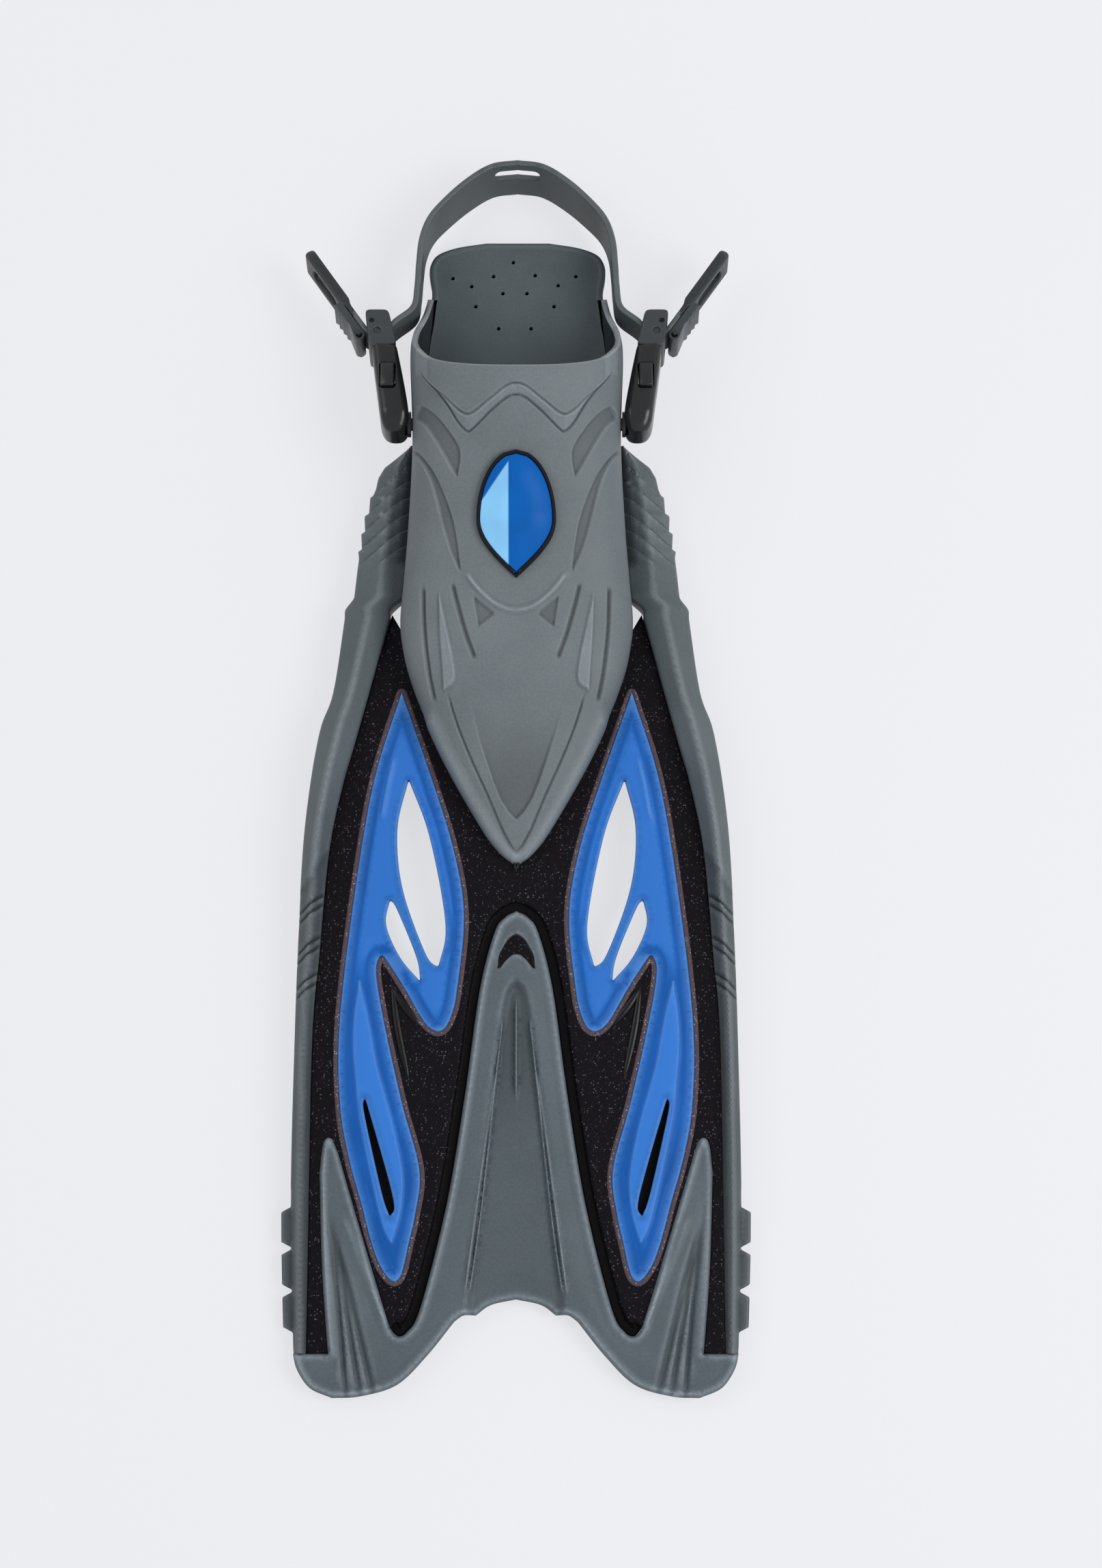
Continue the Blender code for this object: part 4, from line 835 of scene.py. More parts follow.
def panel_half():
    """Right half of the panel, from the middle of its end at the toe round to the notch for the tip."""
    side = on_blade(curve(PANEL_SIDE))
    end = on_blade(runs(PANEL_END))
    rear_y = TOE_Y - 2 * SEAT
    return np.vstack(([(0, rear_y), (PANEL_HORN, rear_y)], side[:-1], end, on_blade(PANEL_END[-1][-1:])))


def tip_half():
    """Right half of the tip, from the middle of its free edge round to the point under the panel."""
    free = on_blade(runs(TIP_EDGE))
    free = np.vstack((free, on_blade(TIP_EDGE[-1][-1:])))[::-1]
    held = on_blade(runs(PANEL_END))
    return np.vstack((free, held, on_blade(PANEL_END[-1][-1:])))


# Marks on the right half of the blade: ribs on the panel, the tip's fan of ribs and its middle channel
PANEL_RIBS = [
    [(57.6, -104.0), (54.6, -124.8), (49.8, -146.4)],
    [(57.2, -105.0), (51.5, -113.5), (44.6, -122.0)],
]
RIB_HALF_WIDTH = 1.9
RIB_HEIGHT = 1.2
MOAT = 4.6
MOAT_LAP = 2.0
MOAT_DEPTH = 1.9
MOAT_SLOPE = 1.4
RECESS_MARGIN = 0.2
RECESS_DEPTH = 2.2
RECESS_SLOPE = 0.5
CHEVRON = [[(0, -80.0), (2.2, -81.2), (4.2, -83.4), (6.1, -86.8), (7.6, -90.2), (8.1, -95.5)],
           [(8.1, -95.5), (6.4, -93.0), (3.7, -90.2), (0, -88.0)]]
CHANNEL = [(0, -101.6), (3.6, -106.0), (6.2, -117.0), (9.6, -142.0), (13.0, -166.0), (17.2, -205.0),
           (21.0, -243.0), (22.0, -262.0)]
CHANNEL_DEPTH = 2.8
CHANNEL_SLOPE = 4.6
TIP_RIBS = [
    ridge([(6.2, -118.0), (11.4, -166.0), (17.0, -215.0), (21.6, -246.5)], 0.9, 1.9, 0.05),
    ridge([(9.5, -143.1), (16.4, -193.9), (23.6, -247.0)], 1.2, 1.3, 0.08),
    ridge([(86.5, -205.0), (81.6, -246.0), (76.3, -305.0)], 2.1, -1.7, 0.3),
    ridge([(85.5, -208.0), (78.6, -246.0), (68.7, -305.0)], 2.4, -1.7, 0.3),
    ridge([(84.5, -212.0), (76.0, -246.0), (61.6, -305.0)], 2.7, -1.7, 0.3),
    ridge([(80.5, -206.0), (70.5, -232.0), (62.0, -252.0), (55.5, -262.0)], 3.0, 1.0, 0.15),
]
TIP_CREST = ridge([(0, -107.0), (0, -128.0), (0, -158.0)], 1.1, 2.4, 0.2)
INSERT_LEAF = [
    [(72.8, -100.7), (75.4, -118.4), (75.6, -134.0), (74.4, -145.9), (72.7, -163.4), (68.1, -186.6),
     (61.7, -213.4), (57.1, -222.6)],
    [(57.1, -222.6), (53.0, -208.7), (51.9, -194.7), (53.6, -180.8), (57.6, -163.4), (64.0, -141.3),
     (66.5, -128.0), (69.5, -113.0), (72.8, -100.7)],
]
INSERT_MARKS = [
    ridge([(56.5, 6.5), (60.2, -11.3), (63.2, -28.4)], 2.6, 1.0),
    patch(rounded(runs(INSERT_LEAF), 6), 0.6, 1.6),
]
RAIL_GROOVES = [ridge([(89.0, y + 2.0), (103.0, y - 9.5)], 1.0, -1.7, 0.06)
                for y in (-63.0, -67.2, -81.2, -85.4, -97.0, -101.2)]


def insert_loop(side):
    return rounded(on_blade(runs(INSERT_EDGE), side), 10)


def opening(edge, side):
    return rounded(on_blade(runs(edge), side), 5)


def moat_loop():
    """The sunken band of the panel that runs round the tip's tongue."""
    border = on_blade(curve(PANEL_END[-1]))
    border = np.vstack((border, mirrored(border)[1:]))
    across = sideways(border, False)
    if across[len(border) // 2, 1] < 0:
        across = -across
    return np.vstack((border - across * MOAT_LAP, (border + across * MOAT)[::-1]))


SIDES = ((1, "right"), (-1, "left"))
PANEL_EDGE = 0.5


def build_panel(pitch):
    outline = grown(whole(panel_half()), -SEAT / 2)
    vents = [opening(vent, side) for vent in (LARGE_VENT, SMALL_VENT) for side, _ in SIDES]
    marks = [patch(grown(insert_loop(side), RECESS_MARGIN), -RECESS_DEPTH, RECESS_SLOPE) for side, _ in SIDES]
    marks.append(patch(moat_loop(), -MOAT_DEPTH, MOAT_SLOPE))
    mesh = relief_mesh("flecked_blade_panel", [outline] + [grown(vent, SEAT) for vent in vents], pitch,
                       lambda x, y, depth: CORE_HIGH + rise(y) - edge_drop(depth, PANEL_EDGE),
                       lambda x, y, depth: CORE_LOW + rise(y) + edge_drop(depth, PANEL_EDGE), marks)
    add_piece(mesh, finishes.get("panel"), "fin", "core_plastic", "blade_panel")
    for side, word in SIDES:
        for line, place in zip(PANEL_RIBS, ("long", "short")):
            line = np.array(line) * (side, 1)
            rib = spindle_mesh("%s_%s_panel_rib" % (word, place), line, RIB_HALF_WIDTH, RIB_HEIGHT)
            add_piece(rib, finishes.get("bezel"), "fin", "core_plastic")


# Points round a rib and round a bead, and how thin a rib's ends get
RIB_POINTS = 14
BEAD_POINTS = 10
RIB_END = 0.0004


def spindle_mesh(name, line, half_width, height):
    """A rib on the panel that tapers to a point at both ends."""
    path = curve(line, 10)
    across = sideways(path, False)
    taper = np.sqrt(np.clip(1 - np.linspace(-1, 1, len(path)) ** 2, RIB_END, 1))
    rows = []
    for turn in turns(RIB_POINTS):
        spot = path + across * (half_width * math.cos(turn) * taper)[:, None]
        rows.append(np.column_stack((spot, CORE_HIGH + rise(spot[:, 1]) + height * math.sin(turn) * taper)))
    return grid_mesh(name, np.stack(rows, axis=1), cap=True, closed=True)


# Tip: rounded bead along its edge, swell of its middle, a painted highlight along the bead and painted shade
# in the channel, with less of it towards the free edge
TIP_MARGIN = 0.1
TIP_BEAD = 1.1
TIP_BEAD_DEPTH = 1.8
TIP_BEAD_WIDTH = 1.1
TIP_CROWN = 1.0
TIP_CROWN_RUN = 14.0
TIP_TOP_EDGE = 1.4
TIP_LOW_EDGE = 1.0
TIP_SHADE = 2.0
TIP_SHADE_DEPTH = 1.9
TIP_SHADE_WIDTH = 1.4
CHANNEL_SHADE = 0.85
CHANNEL_SHADE_FALL = 0.5
CHANNEL_SHADE_Y = -190.0
CHANNEL_SHADE_RUN = 60.0
INLAY_MARGIN = 0.5
INLAY_DEPTH = 1.1
INLAY_TOP = 0.7
INLAY_ROOT = 1.5
INLAY_EDGE = 0.4


def build_tip(pitch):
    outline = grown(whole(tip_half()), TIP_MARGIN)
    channel = curve(CHANNEL)
    chevron = whole(runs(CHEVRON, 3))
    floor = patch(np.vstack((channel, mirrored(channel)[:-1])), -CHANNEL_DEPTH, CHANNEL_SLOPE)
    marks = [floor, patch(grown(chevron, INLAY_MARGIN), -INLAY_DEPTH, 0.5)]
    marks += both_sides(TIP_RIBS) + [TIP_CREST]

    def top(x, y, depth):
        bead = TIP_BEAD * bell(depth, TIP_BEAD_DEPTH, TIP_BEAD_WIDTH)
        crown = TIP_CROWN * ease(depth / TIP_CROWN_RUN)
        return TIP_TOP + rise(y) + bead + crown - edge_drop(depth, TIP_TOP_EDGE)

    # Painted light and shade: a painted highlight along the bead, and the channel's painted shade taken back,
    # most towards the free edge
    def painted_shading(x, y, depth):
        deep = relief(np.column_stack((x, y)), [floor])
        shade = CHANNEL_SHADE - CHANNEL_SHADE_FALL * ease((y - CHANNEL_SHADE_Y) / CHANNEL_SHADE_RUN)
        return TIP_SHADE * bell(depth, TIP_SHADE_DEPTH, TIP_SHADE_WIDTH) - shade * deep

    mesh = relief_mesh("grooved_blade_tip", [outline], pitch, top,
                       lambda x, y, depth: TIP_LOW + rise(y) + edge_drop(depth, TIP_LOW_EDGE), marks,
                       painted_shading=painted_shading)
    add_piece(mesh, finishes.get("tip"), "fin", "rail_rubber", "blade_tip")
    inlay = relief_mesh("tip_chevron_inlay", [chevron], 1.2,
                        lambda x, y, depth: TIP_TOP + INLAY_TOP + rise(y) - edge_drop(depth, INLAY_EDGE),
                        lambda x, y, depth: TIP_TOP - INLAY_ROOT + rise(y), rings=RINGS[:2])
    add_piece(inlay, finishes.get("panel"), "fin", "core_plastic")


# Insert: height over its level by distance in from its border, and the places where its paler field begins
INSERT_PROFILE = ((0, -0.5), (0.5, 0.1), (1.4, 0.3), (3.6, 0.3), (4.2, 0.6), (4.8, 0.6), (5.6, 0.45),
                  (8.0, 0.75), (12.0, 1.0))
INSERT_RINGS = (0.2, 0.6, 1.4, 3.6, 4.8, 5.6)
INSERT_VENT_EDGE = 0.9
FORK_X = 60.0
FORK_Y = -128.0
UPPER_Y = -106.0
UPPER_RUN = 20.0
UPPER_FIELD = 0.8
BORDER_WIDTH = 4.8
BORDER_FADE = 1.6
FIELD_FADE = 2.4
VENT_BORDER = 0.4
SEAM_MARGIN = 0.9
SEAM_HALF_WIDTH = 1.1
SEAM_HEIGHT = 0.6
SEAM_LIFT = 0.1


def insert_field(spots, border, leaf, holes):
    """Share of the paler field at points of an insert: inside the leaf and over its upper part clear of its
    border, fading out round its vents as painted shade.
    """
    inward = np.where(inside(spots, [leaf]), 1, -1) * path_distance(spots, leaf, True)[0]
    field = ease(0.5 + inward / FIELD_FADE)
    fork = (np.abs(spots[:, 0]) < FORK_X) & (spots[:, 1] > FORK_Y)
    upper = np.maximum(fork, ease((spots[:, 1] - UPPER_Y) / UPPER_RUN))
    upper = upper * ease((path_distance(spots, border, True)[0] - BORDER_WIDTH) / BORDER_FADE)
    field = np.maximum(field, UPPER_FIELD * upper)
    # Painted shade: the field fades out round the vents
    for hole in holes:
        field = field * ease((path_distance(spots, hole, True)[0] - VENT_BORDER) / FIELD_FADE)
    return field


def build_inserts(pitch):
    depths, heights = zip(*INSERT_PROFILE)
    for side, word in SIDES:
        border = insert_loop(side)
        holes = [opening(hole, side) for hole in (LARGE_VENT, SMALL_VENT, SLIT)]
        marks = INSERT_MARKS if side > 0 else both_sides(INSERT_MARKS)[len(INSERT_MARKS):]

        def top(x, y, depth):
            inward = path_distance(np.column_stack((x, y)), border, True)[0]
            swell = np.interp(inward, depths, heights)
            return INSERT_TOP + rise(y) + swell - edge_drop(depth, INSERT_VENT_EDGE)

        mesh = relief_mesh(word + "_vented_insert", [border] + holes, pitch, top,
                           lambda x, y, depth: INSERT_LOW + rise(y), marks, rings=INSERT_RINGS)
        spots = np.array([vert.co[:2] for vert in mesh.vertices]) / MM
        field = insert_field(spots, border, marks[1]["path"], holes)
        mesh.attributes.new(FIELD, "FLOAT", "POINT").data.foreach_set("value", field)
        add_piece(mesh, finishes.get("insert"), "fin", "insert_elastomer", word + "_insert")
        seam = bead_mesh(word + "_insert_seam", spaced(grown(border, SEAM_MARGIN), pitch))
        add_piece(seam, finishes.get("seam"), "fin", "core_plastic")


def bead_mesh(name, loop):
    """A rounded bead along a loop on the panel."""
    across = sideways(loop, True)
    rows = []
    for turn in turns(BEAD_POINTS):
        spot = loop + across * SEAM_HALF_WIDTH * math.cos(turn)
        level = CORE_HIGH + SEAM_LIFT + rise(spot[:, 1])
        rows.append(np.column_stack((spot, level + SEAM_HEIGHT * math.sin(turn))))
    return grid_mesh(name, np.stack(rows, axis=1), closed=True, ring=True)


def bump_reach(y):
    """How far the rail's edge stands out, at places in percent of the blade's length."""
    place = (y - BUMP_START) / BUMP_PITCH
    share, reach = zip(*BUMP_SHAPE)
    on_bumps = (place >= 0) & (place < BUMPS)
    return BUMP_REACH * np.where(on_bumps, np.interp(place % 1, share, reach, 0, 0), 0)


# Wing beside the pocket: share of the way from the blade's root to its end, and share of its width. Shingles
# cross it on a slant, each a little proud of the next one towards the heel.
WING = ((0.0, 1.10), (0.03, 1.06), (0.37, 1.04), (0.56, 0.97), (0.68, 0.88), (0.74, 0.80), (0.81, 0.75),
        (0.87, 0.63), (0.93, 0.36), (1.0, 0.06))
WING_WIDTH = 22.0
WING_GAP = 0.1
WING_BLEND = 8.0
WING_ROWS = 240
WING_FROM_Y = 92.0
WING_END_Y = 155.0
SHINGLE = 7.6
SHINGLE_Y = 99.4
SHINGLE_SLOPE = 0.79
SHINGLE_X = 50.0
SHINGLES = 7
SHINGLE_FALL = 0.14
SHINGLE_HEIGHT = 1.5
SHINGLE_EDGE = 1.8
SHINGLE_REACH = (48.0, 76.0)
SHINGLED_FROM = 96.0
SHINGLED_TO = 138.0


def shingle_share(across, y):
    """Share of the way over a shingle, from its start to its free edge, which is a short steep fall."""
    place = (y + SHINGLE_SLOPE * (across - SHINGLE_X) - SHINGLE_Y) / SHINGLE
    share = place % 1
    falling = np.where(share < SHINGLE_FALL, 1 - share / SHINGLE_FALL, share)
    return np.where((place < 0) | (place > SHINGLES - 1), 0.5, falling)


def shingle_lines():
    """Marks without height along the shingles' free edges, for points on both sides of them."""
    lines = []
    for i in range(SHINGLES):
        for ahead in (0.0, SHINGLE_FALL):
            start = SHINGLE_Y + (i + ahead) * SHINGLE
            line = [(x, start + (SHINGLE_X - x) * SHINGLE_SLOPE) for x in SHINGLE_REACH]
            lines.append(ridge(line, 0.06, 0))
    return lines


# Slanting step across the rail, below which it lies lower, with painted light on the rail above it
STEP_X = 86.4
STEP_Y = -38.9
STEP_SLOPE = 1.51
STEP_WIDTH = 1.2
STEP_DEPTH = 1.7
STEP_SHADE = 1.7
STEP_FADE_Y = -175.0
STEP_FADE = 60.0

# Heights of the rail at its tip, at the blade's root and at the wing's end, and of its underside at the root;
# section from its inner to its outer edge
RAIL_TIP_HEIGHT = 12.0
RAIL_ROOT_HEIGHT = 31.0
RAIL_WING_HEIGHT = 18.0
RAIL_ROOT_LOW = 5.0
RAIL_SECTION = ((0, 0.70), (0.44, 0.985), (0.47, 0.993), (0.50, 0.985), (1, 0.62))
RAIL_EDGE = 1.2
BUMP_DROP = 1.6
BUMP_EDGE = 0.8

# Painted light and shade on the rail: a painted highlight along its inner edge, which fades out towards the
# tip, and painted shade on its inner plane, darker towards the tip, which fades out at the root
INNER_LIGHT = 1.4
INNER_LIGHT_WIDTH = 0.7
INNER_LIGHT_Y = -140.0
INNER_LIGHT_FADE = 40.0
INNER_DARK = 1.0
INNER_SHARE = 0.46
TIP_DARK = 0.5
TIP_DARK_Y = -120.0
TIP_DARK_RUN = 60.0
ROOT_FADE = 30.0

# Gutter between the wing and the pocket, and the wing's sink below its shingles
GUTTER_DEPTH = 3.0
GUTTER_SHARE = 0.22
WING_SINK = 1.0


def rail_edges():
    """Rows along the right rail: place, inner edge, outer edge without and with its bumps."""
    inner = on_blade(curve(PANEL_SIDE))[::-1]
    outer = on_blade(curve(RAIL_OUTER))[::-1]
    horn = inner[-1, 1]
    percent = np.concatenate((np.arange(RAIL_START, BUMP_START, 0.8), np.arange(BUMP_START, BUMP_END, 0.18),
                              np.arange(BUMP_END, 99.6, 0.7)))
    y = side_y(percent)
    inside_x = np.interp(y, inner[:, 1], inner[:, 0])
    outside_x = np.interp(y, outer[:, 1], outer[:, 0])
    wing_y = np.linspace(horn, WING_END_Y, WING_ROWS)
    share, width = zip(*WING)
    pocket_x = np.interp(wing_y, *pocket_table("widest")) + WING_GAP
    reach = WING_WIDTH * np.interp((wing_y - horn) / (WING_END_Y - horn), share, width)
    blend = ease((wing_y - horn) / WING_BLEND)
    wing_in = inside_x[-1] + (pocket_x - inside_x[-1]) * blend
    wing_out = outside_x[-1] + (pocket_x + reach - outside_x[-1]) * blend
    steps = SHINGLE_EDGE * (shingle_share(wing_out, wing_y) - 0.6)
    wing_out += steps * ease((wing_y - SHINGLED_FROM) / 8.0) * ease((SHINGLED_TO - wing_y) / 6.0)
    plain = np.concatenate((outside_x, wing_out))
    bumps = np.concatenate((bump_reach(percent), np.zeros(len(wing_y))))
    return np.concatenate((y, wing_y)), np.concatenate((inside_x, wing_in)), plain, plain + bumps


def build_rails(pitch):
    y, inner, plain, outer = rail_edges()
    right = np.vstack((np.column_stack((inner, y)), np.column_stack((outer, y))[::-1]))
    root = side_y(RAIL_ROOT)
    first = side_y(RAIL_START)

    def level(at):
        t = (at - first) / (root - first)
        wing = (at - root) / (WING_END_Y - root)
        climbing = RAIL_TIP_HEIGHT + (RAIL_ROOT_HEIGHT - RAIL_TIP_HEIGHT) * t
        falling = RAIL_ROOT_HEIGHT - (RAIL_ROOT_HEIGHT - RAIL_WING_HEIGHT) * wing
        low = RAIL_ROOT_LOW * np.clip(2 * t - 1, 0, 1)
        return np.where(at <= root, climbing, falling), low

    def rail_share(x, at):
        near, far = np.interp(at, y, inner), np.interp(at, y, plain)
        return (np.abs(x) - near) / np.maximum(far - near, 1e-6)

    def below_step(x, at):
        return ease((STEP_Y - STEP_SLOPE * (np.abs(x) - STEP_X) - at) / STEP_WIDTH)

    def painted_shading(x, at, depth):
        """Painted highlight along the inner edge, painted shade on the plane beside it, and painted light on
        the rail above the step.
        """
        share = rail_share(x, at)
        light = INNER_LIGHT * ease(1.6 - depth / INNER_LIGHT_WIDTH) * (share < 0.3)
        light = light * ease((at - INNER_LIGHT_Y) / INNER_LIGHT_FADE)
        dark = INNER_DARK + TIP_DARK * ease((TIP_DARK_Y - at) / TIP_DARK_RUN)
        plane = light - dark * ease((INNER_SHARE - share) / 0.06)
        return plane * ease((root - at) / ROOT_FADE) + STEP_SHADE * (1 - below_step(x, at))

    def top(x, at, depth):
        high, low = level(at)
        far = np.interp(at, y, plain)
        share = rail_share(x, at)
        arch = np.interp(share, *zip(*RAIL_SECTION))
        z = low + (high - low) * arch - edge_drop(depth, RAIL_EDGE)
        below = below_step(x, at) * ease((at - STEP_FADE_Y) / STEP_FADE)
        bump = ease((np.abs(x) - far + BUMP_EDGE) / BUMP_EDGE) * (at < side_y(BUMP_END + 2.0))
        shingle = SHINGLE_HEIGHT * shingle_share(np.abs(x), at)
        gutter = GUTTER_DEPTH * ease(1 - share / GUTTER_SHARE)
        on_wing = ease((at - WING_FROM_Y) / WING_BLEND)
        return z - STEP_DEPTH * below - BUMP_DROP * bump + on_wing * (shingle - WING_SINK - gutter)

    for side, word in SIDES:
        loop = right if side > 0 else mirrored(right)
        marks = RAIL_GROOVES + shingle_lines()
        marks = marks if side > 0 else both_sides(marks)[len(marks):]
        mesh = relief_mesh(word + "_grooved_rail", [loop], pitch, top,
                           lambda x, at, depth: level(at)[1] + edge_drop(depth, RAIL_EDGE), marks, painted_shading=painted_shading)
        add_piece(mesh, finishes.get("rail"), "fin", "rail_rubber", word + "_rail")


def pocket_table(column):
    """Places along the fin and the pocket's values there: base, widest, level, height or foot."""
    sole = np.array(POCKET_SECTIONS, float)
    apron = np.array(APRON_SECTIONS, float)
    toe = sole[0, 2] / 100 * POCKET_HALF_WIDTH
    low = BED_LOW + APRON_EDGE
    shoulder = low + (sole[0, 3] / 100 * INSTEP_HEIGHT - low) * apron[:, 2] / 100
    crest = low + (sole[0, 4] / 100 * INSTEP_HEIGHT - low) * apron[:, 2] / 100
    values = {
        "base": (toe * apron[:, 1] / 100, sole[:, 1] / 100 * POCKET_HALF_WIDTH),
        "widest": (toe * apron[:, 1] / 100, sole[:, 2] / 100 * POCKET_HALF_WIDTH),
        "level": (shoulder, sole[:, 3] / 100 * INSTEP_HEIGHT),
        "height": (crest, sole[:, 4] / 100 * INSTEP_HEIGHT),
        "foot": (np.full(len(apron), BED_LOW), np.full(len(sole), CORE_LOW)),
    }
    places = (TOE_Y - apron[:, 0] / 100 * APRON_LENGTH, TOE_Y + sole[:, 0] / 100 * SOLE_LENGTH)
    knots = np.column_stack((np.concatenate(places), np.concatenate(values[column])))
    dense = curve(knots, 8) if column != "foot" else knots
    return dense[:, 0], dense[:, 1]


def pocket_top(x, y):
    """Height of the pocket's outside over points near its crown."""
    widest, level, height = (np.interp(y, *pocket_table(column)) for column in ("widest", "level", "height"))
    share = np.clip(np.abs(x) / widest, 0, 1)
    return level + (height - level) * (1 - share ** ARCH_POWER) ** (1 / ARCH_POWER) + rise(y)


# Pocket section: points on its right half, share of the way up its side where it bulges, and of that bulge;
# weight of its height in the spacing of its points, which are finer on top
ARCH_POINTS = 132
SIDE_LEVEL = 0.35
SIDE_BULGE = 0.6
STEEP_WEIGHT = 0.4
SHELL = 2.8


def arch_half(base, widest, level, height, foot):
    """Right half of a pocket section from its foot to its crown."""
    angle = np.linspace(0, math.pi / 2, 140)
    bulge = max(widest, base + 0.05)
    side_x = base + SIDE_BULGE * (bulge - base)
    side_z = foot + SIDE_LEVEL * (level - foot)
    x = np.concatenate(([base, side_x], bulge * np.cos(angle) ** (2 / ARCH_POWER)))
    z = np.concatenate(([foot, side_z], level + (height - level) * np.sin(angle) ** (2 / ARCH_POWER)))
    along = np.concatenate(([0], np.cumsum(np.hypot(np.diff(x), STEEP_WEIGHT * np.diff(z)))))
    even = np.linspace(0, along[-1], ARCH_POINTS)
    return np.interp(even, along, x), np.interp(even, along, z)


# Marks on the right half of the pocket, seen from above: the two edges of the W-shaped chamfer on the instep,
# leaves and bands down its sides, lines over the toe, the apron's raised rim and the V line inside it. The
# V-shaped scoop is given by place along the fin and half width.
W_UPPER = ((0, 168.1), (5.3, 166.3), (13.1, 160.3), (22.6, 154.7), (33.1, 163.8), (39.8, 170.4),
           (45.0, 177.5))
W_LOWER = ((0, 162.9), (4.3, 161.7), (11.2, 156.3), (20.1, 148.0), (22.9, 147.3), (27.0, 151.6),
           (31.8, 159.7), (37.9, 168.2), (44.4, 176.0))
W_DROP = 2.6
W_SHADE = 1.2
W_LEAST = 0.8
W_END_X = 47.0
W_FADE = 9.0
LEAF = [[(44.1, 161.2), (37.9, 155.9), (31.8, 148.4), (26.8, 140.6), (26.1, 134.9), (27.4, 127.8)],
        [(27.4, 127.8), (30.0, 131.9), (36.0, 142.3), (42.1, 152.0), (46.8, 157.6), (44.1, 161.2)]]
SIDE_BAND = [[(48.2, 143.1), (43.5, 135.6), (39.0, 125.9), (34.5, 109.4), (30.5, 96.0), (26.0, 86.0)],
             [(26.0, 86.0), (27.5, 98.0), (29.8, 109.5), (34.2, 121.4), (38.9, 131.0), (45.8, 140.7),
              (48.2, 143.1)]]
TOE_LEAF = [[(35.8, 75.8), (35.5, 59.3), (34.5, 45.1), (33.6, 31.0)],
            [(33.6, 31.0), (28.2, 37.8), (32.6, 62.0), (35.8, 75.8)]]
POCKET_MARKS = [
    patch(runs(LEAF), -1.4, 1.2),
    patch(runs(SIDE_BAND), -1.3, 1.2),
    patch(runs(TOE_LEAF), 1.4, 1.3),
    patch([(19.6, 74.1), (17.4, 60.5), (10.1, 66.2)], -1.3, 1.2),
    ridge([(43.5, 80.2), (42.8, 59.7), (40.6, 39.6), (37.8, 25.7)], 1.6, -1.5, 0.06),
    ridge([(29.8, 80.6), (26.9, 69.2), (23.1, 56.1), (19.0, 44.7)], 1.6, -1.5, 0.06),
]
TOE_COLLAR = [(24.1, 86.1), (17.4, 77.5), (8.9, 70.3), (0, 67.8)]
APRON_RIM = [(42.0, 25.0), (34.0, 7.0), (25.6, -9.0), (16.2, -25.0), (8.4, -37.0), (0, -43.6)]
V_LINE = [(32.3, 31.5), (27.6, 16.1), (21.3, 0.6), (13.4, -16.4), (5.5, -34.0), (0, -41.0)]
V_SCOOP = ((-26.9, 0), (-23.6, 3.4), (-18.0, 7.0), (-10.5, 10.2), (-2.6, 13.0), (10.0, 17.2), (30.0, 23.0))
SCOOP = 2.0
SCOOP_SHADE = 1.3
SCOOP_SLOPE = 1.4
SCOOP_FADE = 40.0

# Lines that cross the pocket's middle: right half, width, height and share over which they fade
CROSSING = (
    (TOE_COLLAR, 1.8, 1.4, 0.08),
    (APRON_RIM, 4.4, 1.5, 0.05),
    (V_LINE, 1.0, -1.0, 0.05),
    (W_UPPER[::-1], 0.8, -0.9, 0.03),
    (W_LOWER[::-1], 0.8, -0.9, 0.03),
)

# The pocket's rows stand upright as far as TURN_Y and then lean over to the slanting ankle opening
TURN_Y = 140.0
TURN_ROWS = 72
TIP_ROWS = ((0.1, 1.5, 0.2), (0.7, 1.0, 1.4))


def w_chamfer(flat):
    """Share of the W's drop by which the instep stands above the toe's side of it."""
    across = np.abs(flat[:, 0])
    upper = np.interp(across, *zip(*W_UPPER))
    lower = np.interp(across, *zip(*W_LOWER))
    share = (flat[:, 1] - lower) / np.maximum(upper - lower, W_LEAST)
    return np.clip(share, 0, 1) * ease((W_END_X - across) / W_FADE)


def toe_scoop(flat):
    """Share of the scoop's depth: full at its point, fading out towards the toe."""
    half = np.interp(flat[:, 1], *zip(*V_SCOOP), left=-20.0)
    within = ease(0.5 + (half - np.abs(flat[:, 0])) / SCOOP_SLOPE)
    return within * ease((V_SCOOP[-1][0] - flat[:, 1]) / SCOOP_FADE)


